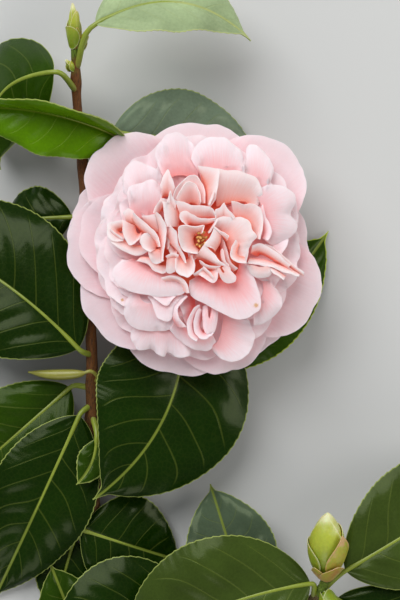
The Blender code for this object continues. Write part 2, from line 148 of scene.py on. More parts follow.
def lay_sheet(shape, columns, rows, skin_at, layer, thickness, calc_uvs=False):
    """Lays a sheet with its top on skin_at, closes it with a back and a rim, and gives its faces.

    skin_at takes a place on the square from -1 to 1, and gives the point and what its vertex carries
    in the layer. The thickness is in millimetres.
    """
    others = set(shape.faces)
    grid = bmesh.ops.create_grid(
        shape, x_segments=columns, y_segments=rows, size=1.0, calc_uvs=calc_uvs
    )
    for vert in grid["verts"]:
        point, vert[layer] = skin_at(vert.co.x, vert.co.y)
        vert.co = spot(point)
    shape.normal_update()
    faces = [face for face in shape.faces if face not in others]
    edges = {edge for face in faces for edge in face.edges}
    back = bmesh.ops.extrude_face_region(shape, geom=[*faces, *edges], use_keep_orig=True)
    moved = [vert for vert in back["geom"] if isinstance(vert, bmesh.types.BMVert)]
    below = [vert.co - vert.normal * (thickness * MM) for vert in moved]
    for vert, place in zip(moved, below):
        vert.co = place
    shell = [face for face in shape.faces if face not in others]
    bmesh.ops.recalc_face_normals(shape, faces=shell)
    if sum(face.calc_center_median().dot(face.normal) * face.calc_area() for face in shell) < 0:
        bmesh.ops.reverse_faces(shape, faces=shell)
    for edge in {edge for face in shell for edge in face.edges}:
        edge.smooth = edge.calc_face_angle(0.0) < CRISP
    return shell


def set_piece(name, shape, materials, slot, *nodes):
    """Makes the bmesh a shown piece that stands for the CAD nodes."""
    mesh = bpy.data.meshes.new(name)
    shape.to_mesh(mesh)
    shape.free()
    mesh.shade_smooth()
    for material in materials:
        mesh.materials.append(material)
    piece = bpy.data.objects.new(name, mesh)
    bpy.context.scene.collection.objects.link(piece)
    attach(piece, "root")
    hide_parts(*nodes)


def add_node(tree, kind, sockets=None, **settings):
    """A shader node with its settings made, and its sockets filled or linked."""
    node = tree.nodes.new("ShaderNode" + kind)
    for key, value in settings.items():
        setattr(node, key, value)
    for key, value in (sockets or {}).items():
        if isinstance(value, bpy.types.NodeSocket):
            tree.links.new(value, node.inputs[key])
        else:
            node.inputs[key].default_value = value
    return node


def calc(tree, operation, *values):
    return add_node(tree, "Math", dict(enumerate(values)), operation=operation).outputs[0]


def ease(tree, value, low, high, start=0.0, end=1.0):
    """start below low, end above high, and a smooth rise between."""
    sockets = {"Value": value, "From Min": low, "From Max": high, "To Min": start, "To Max": end}
    return add_node(tree, "MapRange", sockets, interpolation_type="SMOOTHSTEP").outputs[0]


def mix_colour(tree, share, first, second, blend_type="MIX"):
    sockets = {0: share, 6: first, 7: second}
    return add_node(tree, "Mix", sockets, data_type="RGBA", blend_type=blend_type).outputs[2]


def fine_noise(tree, place, scale, detail=3.0, stretch=None):
    """Noise from 0 to 1 with this many lumps in a metre, or in one unit of a UV map."""
    if stretch:
        place = add_node(tree, "Mapping", {"Vector": place, "Scale": stretch}).outputs[0]
    return add_node(tree, "TexNoise", {"Vector": place, "Scale": scale, "Detail": detail}).outputs[0]


def place_on(tree):
    """Where a point lies on its piece, in metres."""
    return add_node(tree, "TexCoord").outputs["Object"]


def map_on(tree, name):
    """What the vertices carry under this name."""
    return add_node(tree, "Attribute", attribute_name=name).outputs["Vector"]


def tint(colour):
    return (*colour, 1.0)


def new_group(name, inputs, outputs):
    """A node group with its sockets made, and the nodes that carry its inputs and outputs."""
    group = bpy.data.node_groups.new(name, "ShaderNodeTree")
    for direction, sockets in (("INPUT", inputs), ("OUTPUT", outputs)):
        for socket, kind in sockets.items():
            group.interface.new_socket(socket, in_out=direction, socket_type="NodeSocket" + kind)
    entry, leave = group.nodes.new("NodeGroupInput"), group.nodes.new("NodeGroupOutput")
    return group, entry, leave


def fill_outputs(group, leave, **sockets):
    for name, value in sockets.items():
        group.links.new(value, leave.inputs[name])


def new_finish(name, **values):
    """A material with its shader's plain values set, and the tree to add its pattern to."""
    material = bpy.data.materials.new(name)
    material.use_nodes = True
    tree = material.node_tree
    shader = tree.nodes["Principled BSDF"]
    for key, value in values.items():
        shader.inputs[key.replace("_", " ")].default_value = value
    return material, tree, shader


def dress(tree, shader, colour, height, distance):
    """Gives the surface its colour, and bumps it by height times distance, in millimetres."""
    tree.links.new(colour, shader.inputs["Base Color"])
    bump = add_node(tree, "Bump", {"Height": height, "Distance": distance * MM, "Strength": 1.0})
    tree.links.new(bump.outputs[0], shader.inputs["Normal"])


def speckled_finish(name, first, second, scale, relief, detail=3.0, **values):
    """A finish that goes between two colours in fine speckles, raised by relief in millimetres."""
    material, tree, shader = new_finish(name, **values)
    speckles = fine_noise(tree, place_on(tree), scale, detail)
    dress(tree, shader, mix_colour(tree, speckles, tint(first), tint(second)), speckles, relief)
    return material


# Every living surface is a little uneven in tone: broad patches and a fine mottle, round the value 1.
mottle, mottle_in, mottle_out = new_group(
    "living_mottle",
    {"Place": "Vector", "Patches": "Float", "Grain": "Float"},
    {"Tone": "Float"},
)
tone = 1.0
for scale, detail, strength in ((55.0, 2.0, "Patches"), (900.0, 3.0, "Grain")):
    uneven = calc(mottle, "SUBTRACT", fine_noise(mottle, mottle_in.outputs["Place"], scale, detail), 0.5)
    tone = calc(mottle, "ADD", calc(mottle, "MULTIPLY", uneven, mottle_in.outputs[strength]), tone)
fill_outputs(mottle, mottle_out, Tone=tone)


def toned(tree, colour, place, patches, grain):
    """The colour made lighter and darker by the living mottle."""
    sockets = {"Place": place, "Patches": patches, "Grain": grain}
    tone = add_node(tree, "Group", sockets, node_tree=mottle).outputs["Tone"]
    shade = add_node(tree, "CombineColor", {0: tone, 1: tone, 2: tone}).outputs[0]
    return mix_colour(tree, 1.0, colour, shade, "MULTIPLY")


def bark_finish(name, old, young, green_from):
    """Bark that goes from the old colour to the young one, then green from a share of its length on."""
    material, tree, shader = new_finish(name, Roughness=0.62, Specular_IOR_Level=0.25)
    place = place_on(tree)
    around = add_node(tree, "UVMap", uv_map="wood_map").outputs[0]
    along = add_node(tree, "SeparateXYZ", {0: around}).outputs["Y"]
    wander = calc(tree, "MULTIPLY", fine_noise(tree, place, 160.0), 0.12)
    ripe = calc(tree, "ADD", along, calc(tree, "SUBTRACT", wander, 0.06))
    bark = mix_colour(tree, ease(tree, ripe, 0.1, 0.85), tint(old), tint(young))
    cracks = fine_noise(tree, around, 1.0, 5.0, stretch=(34.0, 90.0, 1.0))
    open_crack = ease(tree, cracks, 0.36, 0.5, 1.0, 0.0)
    spread = add_node(tree, "Mapping", {"Vector": around, "Scale": (9.0, 70.0, 1.0)}).outputs[0]
    pores = add_node(tree, "TexVoronoi", {"Vector": spread}).outputs["Distance"]
    pore = ease(tree, pores, 0.1, 0.2, 1.0, 0.0)
    for mask, strength, colour in (
        (ease(tree, ripe, green_from, green_from + 0.04), 1.0, (0.13, 0.20, 0.02)),
        (open_crack, 0.65, (0.035, 0.02, 0.014)),
        (pore, 0.55, (0.34, 0.25, 0.16)),
    ):
        bark = mix_colour(tree, calc(tree, "MULTIPLY", mask, strength), bark, tint(colour))
    relief = calc(tree, "SUBTRACT", calc(tree, "MULTIPLY", pore, 0.7), open_crack)
    dress(tree, shader, toned(tree, bark, place, 0.5, 0.5), relief, 0.14)
    return material


def lay_wood(name, limb, bark, cut=None):
    """A limb with ridged bark. cut is the finish of its cut foot, if that shows as pale wood."""

    def radius_at(share, turn):
        ridge = noise.noise(Vector((math.cos(turn) * 2.2, math.sin(turn) * 2.2, share * 30)))
        scar = 0.3 * limb.swelling(share) * max(0.0, math.cos(turn * 2 + share * 40))
        return limb.radius(share) * (1 + 0.07 * ridge) + scar

    shape = bmesh.new()
    shape.loops.layers.uv.new("wood_map")
    faces = roll_up(shape, limb.route, radius_at, WOOD_SIDES)
    if cut:
        ends = [face for face in faces if len(face.verts) > 4]
        cap = min(ends, key=lambda face: face.calc_center_median().y)
        bmesh.ops.inset_individual(shape, faces=[cap], thickness=BARK_THICK * MM, depth=0.0)
        cap.material_index = 1
        bmesh.ops.inset_individual(shape, faces=[cap], thickness=WOOD_THICK * MM, depth=-PITH_DEPTH * MM)
    set_piece(name + "_wood", shape, [bark, cut] if cut else [bark], "bark", name)


STEM = Limb(
    [
        (-28, -181, 3.0),
        (-34, -156, 3.2),
        (-39.5, -132, 3.8),
        (-41, -106, 4.8),
        (-41.5, -82, 8),
        (-41, -60, 14.5),
        (-41, -40, 18.5),
        (-42.5, -6, 19.5),
        (-44.3, 34, 20),
        (-46.5, 59, 23),
        (-47, 80, 28),
    ],
    (3.3, 1.6),
    nodes=(0.14, 0.30, 0.47, 0.54, 0.70, 0.80, 0.94),
)
BLOOM_SHOOT = Limb(
    [
        (-40, -94, 6),
        (-24, -75, 4.5),
        (-6, -54, 5),
        (0.5, -28, 7),
        (0, -10, 10.5),
        BLOOM_AT - BLOOM_LEAN @ UP * 6,
        BLOOM_AT - BLOOM_LEAN @ UP * 3,
        BLOOM_AT - BLOOM_LEAN @ UP * 0.45,
    ],
    (2.0, 2.3),
    nodes=(0.48, 0.86),
)
BUD_SHOOT = Limb(
    [(-34, -155, 3.2), (-12, -160, 5), (12, -155, 9), (34, -145, 16), (48, -135.5, 23), (51, -129, 27)],
    (2.3, 1.9),
    nodes=(0.30, 0.52, 0.90),
)
LIMBS = {"stem": STEM, "bloom_shoot": BLOOM_SHOOT, "bud_shoot": BUD_SHOOT}

cut_wood = speckled_finish(
    "cut_wood", (0.42, 0.30, 0.16), (0.62, 0.49, 0.29), 1400.0, 0.08, detail=4.0, Roughness=0.8
)
stem_bark = bark_finish("stem_bark", (0.115, 0.054, 0.010), (0.15, 0.052, 0.012), 0.955)
shoot_bark = bark_finish("shoot_bark", (0.11, 0.045, 0.022), (0.15, 0.11, 0.04), 0.8)
lay_wood("stem", STEM, stem_bark, cut=cut_wood)
lay_wood("bloom_shoot", BLOOM_SHOOT, shoot_bark)
lay_wood("bud_shoot", BUD_SHOOT, shoot_bark)


# ---------------------------------------------------------------- leaves
# Thick, glossy evergreen blades with a fine saw edge and a drawn-out point. The midrib lies in a
# groove, and the blade swells softly along its looping side veins. Below, the stalk runs on under
# the blade as a round rib, and the skin is paler and dull.

BLADE_THICK = 0.5
BLADE_COLUMNS = 28
ROWS_PER_MM = 1.6
TOOTH_PITCH, TOOTH_HIGH = 2.9, 0.55
TOOTH_RISE = 0.8  # share of a tooth that climbs, before it drops back
GROOVE_DEPTH, GROOVE_HALF = 0.42, 0.75  # of the midrib's groove
STALK_RADII = (1.35, 0.95)
STALK_STEPS, RIB_STEPS, STALK_SIDES = 8, 26, 14
RIB_END = 0.9  # share of the blade that the rib below it reaches


class Leaf:
    """One leaf: the limb and share of it that carries it, its blade's start, tip and width, and its form.

    arch lifts the middle of the blade, sweep bends it sideways and wave ripples its edges, all in
    millimetres. roll turns the blade about its own line and fold raises its two halves, in degrees.
    """

    def __init__(self, limb, share, start, tip, width, arch=8, roll=0, sweep=0, fold=8, wave=0.8):
        self.limb, self.share = limb, share
        self.start, self.tip = Vector(start), Vector(tip)
        self.length = (self.tip - self.start).length
        self.half = width / 2
        self.arch, self.sweep, self.wave = arch, sweep, wave
        self.fold = math.radians(fold)
        line = (self.tip - self.start).normalized()
        self.side = Matrix.Rotation(math.radians(roll), 3, line) @ line.cross(UP).normalized()
        self.face = self.side.cross(line).normalized()
        self.veins = round(3.2 + self.length / 17)
        self.seed = Vector((self.start.x, self.tip.y, self.length))

    def midrib(self, t):
        bow = 4 * t * (1 - t)
        return self.start.lerp(self.tip, t) + (self.face * self.arch + self.side * self.sweep) * bow

    def outline(self, t):
        """Half the blade's width: fullest a little below the middle, drawn out into a short point."""
        body = math.sin(math.pi * min(t / 0.94, 1.0) ** 0.86) ** 0.72
        point = 0.16 * min((1 - t) / 0.14, 1.0) if t > 0.5 else 0.0
        foot = 0.035 * (1 - smooth_step(t, 0.5, 1.0))
        return self.half * max((body**3 + point**3) ** (1 / 3), foot, 0.008)

    def vein_phase(self, across, t):
        """Whole numbers along each side vein. The veins sweep forward as they leave the midrib."""
        x, way = abs(across), math.copysign(1, across)
        forward = (0.20 + 0.02 * way) * (0.85 * x + 0.3 * x**3)
        stray = 0.25 * noise.noise(self.seed + Vector((across * 1.2, t * 5, 3.0)))
        return self.veins * (t - forward + 0.2) + 0.175 * way + stray

    def surface(self, across, t):
        """A point of the upper skin, its distances from midrib and rim, and its vein phase."""
        width, x = self.outline(t), abs(across)
        from_midrib = width * x
        step = (t * self.length * 1.05 / TOOTH_PITCH + (0.4 if across > 0 else 0.0)) % 1.0
        drop = (1 - step) * TOOTH_RISE**1.3 / (1 - TOOTH_RISE)
        tooth = step**1.3 if step < TOOTH_RISE else drop
        tooth *= TOOTH_HIGH * smooth_step(t, 0.06, 0.16) * (1 - smooth_step(t, 0.9, 0.98))
        reach = from_midrib + tooth * smooth_step(x, 0.86, 1.0)
        ahead = min(t + 0.01, 1.0)
        along = (self.midrib(ahead) - self.midrib(ahead - 0.02)).normalized()
        side = (self.side - along * self.side.dot(along)).normalized()
        up = side.cross(along)
        ripple = self.wave * across**2 * math.sin(6.2 * math.pi * t + 1.3 * across)
        curl = (ripple - 0.16 * self.half * across**4) * width / self.half
        rise = from_midrib * math.sin(self.fold) + curl
        phase = self.vein_phase(across, t)
        swell = 1 - (1 - 2 * abs(phase % 1.0 - 0.5)) ** 2
        swell *= 0.055 * self.half**0.7 * smooth_step(x, 0.04, 0.3) * (1 - smooth_step(x, 0.7, 0.98))
        groove = GROOVE_DEPTH * math.exp(-((from_midrib / GROOVE_HALF) ** 2)) * (1 - 0.7 * t)
        sway = noise.noise(self.seed + Vector((across * self.half / 16, t * self.length / 22, 0))) * 0.9
        rise += (swell - groove + sway * smooth_step(x, 0.0, 0.5)) * min(1.0, width / (0.4 * self.half))
        place = self.midrib(t) + side * math.copysign(reach, across) * math.cos(self.fold) + up * rise
        return place, from_midrib, width * (1 - x), phase


def stalk_route(leaf):
    """From the limb's middle, curving into the blade's line, then under its midrib to near the tip.

    Also gives the share of the steps at which the blade starts.
    """
    foot, start = LIMBS[leaf.limb].at(leaf.share), leaf.midrib(0.0)
    leave = start - foot
    arrive = (leaf.midrib(0.14) - start).normalized() * leave.length
    route = []
    for i in range(STALK_STEPS):
        t = i / STALK_STEPS
        eased = smooth_step(t, 0.0, 1.0)
        bend = leave * (t * (1 - t) ** 2) - arrive * (t * t * (1 - t))
        route.append(foot.lerp(start, eased) + bend - leaf.face * 0.1 * t)
    for i in range(RIB_STEPS + 1):
        t = RIB_END * i / RIB_STEPS
        route.append(leaf.midrib(t) - leaf.face * (0.1 + 0.75 * smooth_step(t, 0.0, 0.12)))
    return route, STALK_STEPS / (STALK_STEPS + RIB_STEPS)


def grow_leaf(name, leaf, finishes):
    """The blade, thickened and closed, with its stalk and rib."""
    shape = bmesh.new()
    vein_map = shape.verts.layers.float_vector.new("vein_map")
    shape.loops.layers.uv.new("blade_map")

    def skin_at(a, b):
        point, *marks = leaf.surface(math.copysign(abs(a) ** 1.5, a), (b + 1) / 2)
        return point, marks

    rows = round(leaf.length * ROWS_PER_MM)
    for face in lay_sheet(shape, BLADE_COLUMNS, rows, skin_at, vein_map, BLADE_THICK, calc_uvs=True):
        if face.normal.dot(leaf.face) < 0:
            face.material_index = 1
    route, blade_from = stalk_route(leaf)
    wide, slim = STALK_RADII

    def radius_at(share, turn):
        if share < blade_from:
            return wide + (slim - wide) * share / blade_from
        under = (share - blade_from) / (1 - blade_from)
        return slim * (1 - under) ** 0.75 * 0.95 + 0.12

    for face in roll_up(shape, route, radius_at, STALK_SIDES):
        face.material_index = 2
    set_piece(name.replace("leaf_", "blade_"), shape, finishes, "leaf_green", name)


# Blade colour, then a fine net of veins, the side veins, the pale midrib and the thin pale rim.
leaf_skin, skin_in, skin_out = new_group(
    "leaf_skin",
    {"Map": "Vector", "Place": "Vector", "Blade": "Color", "Vein": "Color", "Rim": "Color"},
    {"Colour": "Color", "Roughness": "Float", "Height": "Float"},
)
parts = add_node(leaf_skin, "SeparateXYZ", {0: skin_in.outputs["Map"]})
from_midrib, from_rim, phase = parts.outputs
place = skin_in.outputs["Place"]
midrib = ease(leaf_skin, from_midrib, 0.25, 0.75, 1.0, 0.0)
off_middle = calc(leaf_skin, "ABSOLUTE", calc(leaf_skin, "SUBTRACT", calc(leaf_skin, "FRACT", phase), 0.5))
side_vein = ease(leaf_skin, calc(leaf_skin, "SUBTRACT", 0.5, off_middle), 0.01, 0.045, 1.0, 0.0)
side_vein = calc(leaf_skin, "MULTIPLY", side_vein, ease(leaf_skin, from_rim, 1.5, 6.0))
cells = add_node(leaf_skin, "TexVoronoi", {"Vector": place, "Scale": 520.0}, feature="DISTANCE_TO_EDGE")
net = ease(leaf_skin, cells.outputs["Distance"], 0.02, 0.12, 1.0, 0.0)
rim = ease(leaf_skin, from_rim, 0.18, 0.5, 1.0, 0.0)
blade = toned(leaf_skin, skin_in.outputs["Blade"], place, 0.9, 0.35)
for mask, strength, colour in (
    (net, 0.02, "Vein"), (side_vein, 0.17, "Vein"), (midrib, 0.85, "Vein"), (rim, 0.8, "Rim")
):
    share = calc(leaf_skin, "MULTIPLY", mask, strength)
    blade = mix_colour(leaf_skin, share, blade, skin_in.outputs[colour])
dull = calc(leaf_skin, "MULTIPLY", fine_noise(leaf_skin, place, 120.0), 0.12)
dull = calc(leaf_skin, "ADD", dull, 0.20)
height = calc(leaf_skin, "MULTIPLY", side_vein, -0.7)
height = calc(leaf_skin, "SUBTRACT", height, calc(leaf_skin, "MULTIPLY", net, 0.08))
fill_outputs(leaf_skin, skin_out, Colour=blade, Roughness=dull, Height=height)


def skin_on(tree, blade, vein, rim):
    """The leaf's skin in these colours."""
    sockets = {
        "Map": map_on(tree, "vein_map"),
        "Place": place_on(tree),
        "Blade": tint(blade),
        "Vein": tint(vein),
        "Rim": tint(rim),
    }
    return add_node(tree, "Group", sockets, node_tree=leaf_skin).outputs


def leaf_finishes(name, blade, vein=(0.20, 0.25, 0.035), rim=(0.34, 0.40, 0.10)):
    """The upper skin, the underside and the stalk of leaves of one age."""
    upper, tree, shader = new_finish(
        name,
        Coat_Weight=0.08,
        Coat_Roughness=0.14,
        Specular_IOR_Level=0.15,
        Specular_Tint=(0.85, 1.0, 0.45, 1.0),
    )
    skin = skin_on(tree, blade, vein, rim)
    tree.links.new(skin["Roughness"], shader.inputs["Roughness"])
    dress(tree, shader, skin["Colour"], skin["Height"], 0.12)

    # The underside is paler and dull, and its veins stand out.
    under, tree, shader = new_finish(name + "_under", Roughness=0.55)
    skin = skin_on(tree, [0.06 + 1.2 * value for value in blade], (0.22, 0.27, 0.08), rim)
    dress(tree, shader, skin["Colour"], calc(tree, "MULTIPLY", skin["Height"], -1.0), 0.14)
    return [upper, under, stalk_skin]


def stalk_finish():
    """Yellow-green skin of a stalk, a little brown where it meets the wood."""
    material, tree, shader = new_finish("stalk_skin", Roughness=0.42, Coat_Weight=0.15, Coat_Roughness=0.3)
    place = place_on(tree)
    along = add_node(tree, "SeparateXYZ", {0: add_node(tree, "UVMap", uv_map="blade_map").outputs[0]})
    fresh = fine_noise(tree, place, 260.0)
    fresh = mix_colour(tree, fresh, tint((0.19, 0.24, 0.018)), tint((0.30, 0.37, 0.035)))
    brown = ease(tree, along.outputs["Y"], 0.0, 0.1, 0.6, 0.0)
    fresh = mix_colour(tree, brown, fresh, tint((0.20, 0.12, 0.05)))
    dress(tree, shader, toned(tree, fresh, place, 0.4, 0.3), fine_noise(tree, place, 1200.0), 0.03)
    return material


stalk_skin = stalk_finish()
DARK = leaf_finishes("leaf_dark", (0.005, 0.020, 0.0005))
MID = leaf_finishes("leaf_mid", (0.017, 0.046, 0.001))
# Its rim colour is a brighter yellow-green than the others': partly the leaf's own pale rim, partly painted
# light along its lit edge.
LIT_RIM = leaf_finishes("leaf_painted_lit_rim", (0.022, 0.058, 0.001), rim=(0.50, 0.62, 0.06))
# Painted sheen: a grey-green blade that stands for the sky's reflection on a glossy leaf.
SKY_SHEEN_GREY = leaf_finishes("leaf_painted_grey_sheen", (0.15, 0.20, 0.135))
# Partly painted sheen: a greyer, bluer blade than the dark leaves, for some of the sky mirrored in it.
FAINT_SKY_SHEEN = leaf_finishes("leaf_painted_faint_sheen", (0.065, 0.095, 0.055))
OLIVE = leaf_finishes("leaf_olive", (0.040, 0.066, 0.010))
BRIGHT = leaf_finishes("leaf_bright", (0.090, 0.215, 0.001), vein=(0.24, 0.34, 0.03))
# Painted reflection: this blade, its veins and rim are a pale grey-green, the sky mirrored in a glossy
# leaf, painted over the leaf's own green.
SKY_REFLECTED = leaf_finishes("leaf_painted_sky_reflection", (0.33, 0.42, 0.22), vein=(0.42, 0.46, 0.16), rim=(0.5, 0.55, 0.22))

LEAVES = {
    # Its finish paints the sky's reflection over the whole blade.
    "leaf_crown_right": (
        Leaf("stem", 0.965, (-38.5, 88, 35), (22, 83, 24), 32, arch=9, roll=-30, sweep=-8, fold=14),
        SKY_REFLECTED,
    ),
    "leaf_crown_left": (
        Leaf("stem", 0.935, (-55, 69.5, 34), (-78, 33, 11), 50, arch=5, roll=26, sweep=14, fold=-24),
        MID,
    ),
    "leaf_over_stem": (
        Leaf("stem", 0.82, (-28, 44, 25), (-93, 56, 25), 36, arch=5, roll=-44, sweep=10, fold=44),
        BRIGHT,
    ),
    # Its grey finish is a painted sheen of the sky.
    "leaf_behind_top": (Leaf("stem", 0.76, (-33, 48, 13), (26, 42, 0), 40, arch=6, fold=4), SKY_SHEEN_GREY),
    "leaf_behind_left": (Leaf("stem", 0.71, (-49, 14, 15), (-80, 13, 2), 26, arch=6, fold=-6), DARK),
    "leaf_broad_left": (
        Leaf("stem", 0.54, (-46, -38, 25), (-127, 10, 0), 60, arch=9, roll=4, sweep=7, fold=7),
        DARK,
    ),
    "leaf_middle_left": (Leaf("stem", 0.49, (-50, -54, 13), (-112, -108, 0), 42, arch=6, fold=12), MID),
    "leaf_long_left": (
        Leaf("stem", 0.465, (-46, -65, 18), (-82, -141, 0), 42, arch=6, roll=-4, fold=4),
        DARK,
    ),
    "leaf_tucked": (
        Leaf("stem", 0.45, (-39, -74, 20), (-47, -92, 20.9), 12, arch=0, sweep=-2, fold=4, wave=0.3),
        MID,
    ),
    "leaf_under_bloom": (
        Leaf("bloom_shoot", 0.86, (-5, -20, 14), (-40.5, -98, 19.5), 62, arch=8.5, roll=-9, sweep=-11),
        DARK,
    ),
    # Its finish paints light along the leaf's edge.
    "leaf_behind_right": (
        Leaf("bloom_shoot", 0.48, (3, -45, 7.5), (54, 9, 0), 34, arch=7.5, sweep=3, fold=6),
        LIT_RIM,
    ),
    "leaf_low_inner": (Leaf("stem", 0.22, (-45.5, -111, 10.2), (-5, -125, 1), 40, arch=1, fold=3), DARK),
    "leaf_low_back": (Leaf("stem", 0.30, (-49, -116, 3.5), (-58, -147, 0.3), 24, arch=0.5, fold=4), DARK),
    "leaf_foot": (Leaf("stem", 0.05, (-42, -166, 3.2), (-58.5, -125, 5), 28, arch=1.5, fold=6), MID),
    "leaf_low_left": (
        Leaf("bud_shoot", 0.40, (-3, -138, 9), (-59, -160, 10.5), 44, arch=4, roll=2, sweep=4, fold=5),
        DARK,
    ),
    # Its greyish finish is partly a painted sheen of the sky.
    "leaf_pointed": (Leaf("bud_shoot", 0.52, (21, -140, 11), (6, -93, 6), 38, arch=4, fold=18), FAINT_SKY_SHEEN),
    "leaf_bud_left": (
        Leaf("bud_shoot", 0.90, (45, -130, 28), (-30, -164, 14.5), 55, arch=9, sweep=7),
        OLIVE,
    ),
    "leaf_bud_right": (
        Leaf("bud_shoot", 0.95, (59, -125, 27), (131, -82, 0), 50, arch=10, fold=9),
        OLIVE,
    ),
    "leaf_bud_low": (Leaf("bud_shoot", 0.86, (56, -137, 21), (115, -173, 0), 40, fold=10), DARK),
}
for name, (leaf, finishes) in LEAVES.items():
    grow_leaf(name, leaf, finishes)


# ---------------------------------------------------------------- the young leaf
# A leaf that hasn't opened: a hooked stalk, then the blade still rolled into a slim scroll, with its
# free edge lying on the outside. It is more yellow than the open leaves.

YOUNG_LEAF = Limb(
    [
        (-40, -52, 16.5),
        (-38.5, -49.5, 21.5),
        (-41, -47, 24.5),
        (-45.5, -48, 24),
        (-56, -48.5, 22),
        (-66, -47.5, 20),
    ],
    (0.9, 0.4),
)
SCROLL_START, SCROLL_HALF = 0.5, 2.1
SCROLL_SIDES = 24
LAP = 0.16  # how far the rolled edge stands off, as a share of the scroll's radius


def young_skin():
    material, tree, shader = new_finish("young_skin", Roughness=0.38, Coat_Weight=0.2, Coat_Roughness=0.3)
    place = place_on(tree)
    fresh = fine_noise(tree, place, 180.0)
    fresh = mix_colour(tree, fresh, tint((0.19, 0.16, 0.02)), tint((0.34, 0.35, 0.05)))
    dress(tree, shader, toned(tree, fresh, place, 0.4, 0.3), fine_noise(tree, place, 700.0), 0.06)
    return material


def scroll_radius(share, turn):
    """The stalk's radius, then the rolled blade's, which grows round the turn as a scroll's does."""
    blade = max(0.0, (share - SCROLL_START) / (1 - SCROLL_START))
    spindle = SCROLL_HALF * math.sin(math.pi * min(blade, 0.97)) ** 0.6
    lap = LAP * spindle * (turn + math.pi) / math.pi if blade > 0 else 0.0
    seam = 1 - smooth_step(abs(turn), math.pi - 0.5, math.pi)
    return max(YOUNG_LEAF.radius(share), spindle - 0.3 + lap * seam)


young_green = young_skin()
shape = bmesh.new()
shape.loops.layers.uv.new("blade_map")
roll_up(shape, YOUNG_LEAF.route, scroll_radius, SCROLL_SIDES)
set_piece("young_leaf_scroll", shape, [young_green], "young_green", "leaf_young")


# ---------------------------------------------------------------- bloom
# A full double bloom: smooth round guard petals, then broad ruffled petals that lie one on another,
# then a heart of folded petals and small petaloids that stand up round a few gold anthers. Each
# petal is salmon at the foot and pale towards its thin rim, and lets some light through. Each also
# gives off a faint painted glow in its own colour, for the light that comes through the petals.

BLOOM_STAND = Matrix.Translation(BLOOM_AT) @ BLOOM_LEAN.to_4x4()
PETAL_GAP = 0.2  # between one petal and those that it lies on
PETAL_CELLS = 32
HEART_TOP = 32.0
FOLD_STEPS = 4
STANDING_ROWS, LYING_ROWS = 16, 13
FOLD_DEPTH = 0.7  # of the drop from a standing fold's rim to its foot as the table gives it
ROOT_SHARE = 0.25  # of a fold's rows that lie below its foot
ABOVE_ALL = 120.0  # higher than every petal
SOFTENINGS = 8  # rounds in which a raised place lifts what is next to it
SEED = 27


class Petal:
    """One petal in the bloom's own frame, where it leaves the axis at foot and height.

    bearing is its direction round the bloom, reach how far out its tip comes and top how high.
    belly bends it up and in between the two. roll tips one side over its neighbour, cup hollows it
    and curl turns its rim down. twist turns its tip, ruffle waves its edge lobes times round, fan
    squares its tip, notch nicks it and rag makes its outline uneven. Angles are in degrees and
    lengths in millimetres.
    """

    def __init__(
        self, bearing, reach, top, width, foot=2.5, height=3.0, belly=4.0, roll=0.0, cup=0.0, curl=0.0,
        twist=0.0, ruffle=1.0, lobes=4, fan=0.0, notch=0.05, rag=0.02,
    ):
        chance = random.Random(SEED + round(bearing * 10 + reach * 3))
        self.turn, self.roll, self.twist = math.radians(bearing), math.radians(roll), math.radians(twist)
        self.half, self.cup, self.curl = width / 2, cup, curl
        self.ruffle, self.lobes, self.fan, self.notch, self.rag = ruffle, lobes, fan, notch, rag
        self.start, self.end = Vector((foot, height)), Vector((reach, top))
        line = (self.end - self.start).normalized()
        self.mid = (self.start + self.end) / 2 + Vector((-line.y, line.x)) * belly
        self.phase = chance.uniform(0, 2 * math.pi)
        self.second_phase = chance.uniform(0, 2 * math.pi)
        self.seed = Vector((chance.uniform(0, 50), chance.uniform(0, 50), chance.uniform(0, 50)))

    def place(self, x, y):
        """A point of the petal from its place on a unit disc, with the foot at y = -1."""
        angle, from_middle = math.atan2(x, y), math.hypot(x, y)
        torn = self.rag * noise.noise(self.seed + Vector((angle * 2.6, 9.0, 0.0)))
        torn += 0.6 * self.rag * noise.noise(self.seed + Vector((angle * 7.0, 5.0, 0.0)))
        shrink = 1 + (torn - self.notch * math.exp(-((angle / 0.2) ** 2))) * from_middle**3
        edge = max(0.0, from_middle - 0.2) / 0.8
        x, y = x * shrink, y * shrink + self.fan * x * x * max(y, 0.0)
        share = (y + 1) / 2
        out, up = self.start * (1 - share) ** 2 + self.mid * (2 * share * (1 - share)) + self.end * share**2
        ahead = ((self.mid - self.start) * (1 - share) + (self.end - self.mid) * share).normalized()
        radial = Vector((math.cos(self.turn), math.sin(self.turn), 0.0))
        side = Vector((-math.sin(self.turn), math.cos(self.turn), 0.0))
        face = UP * ahead.x - radial * ahead.y
        roll = self.roll + self.twist * share
        across = side * math.cos(roll) + face * math.sin(roll)
        face = face * math.cos(roll) - side * math.sin(roll)
        width = self.half * (0.8 + 0.32 * share)
        around = math.atan2(x, y + 0.5)
        wave = math.sin(self.lobes * around + self.phase)
        wave += 0.6 * math.sin((2 * self.lobes + 1) * around + self.second_phase)
        wave *= 0.55 + 1.3 * noise.noise(self.seed + Vector((around * 1.1, 0.0, 7.0)))
        loose = smooth_step(share, 0.12, 0.7)
        frill = self.ruffle * edge**1.8 * loose * wave
        dent = noise.noise(self.seed + Vector((x, y, 0)) * 1.6)
        dent += 0.5 * noise.noise(self.seed + Vector((x, y, 4)) * 3.9)
        dent *= (0.4 + 0.75 * self.ruffle) * loose
        bowl = self.cup * self.half * x * x
        lip = -self.curl * edge**5 * loose
        return radial * out + UP * up + across * (width * x) + face * (bowl + frill + dent + lip)


def disc_place(a, b):
    """Maps the square from -1 to 1 onto the unit disc."""
    return a * math.sqrt(1 - b * b / 2), b * math.sqrt(1 - a * a / 2)


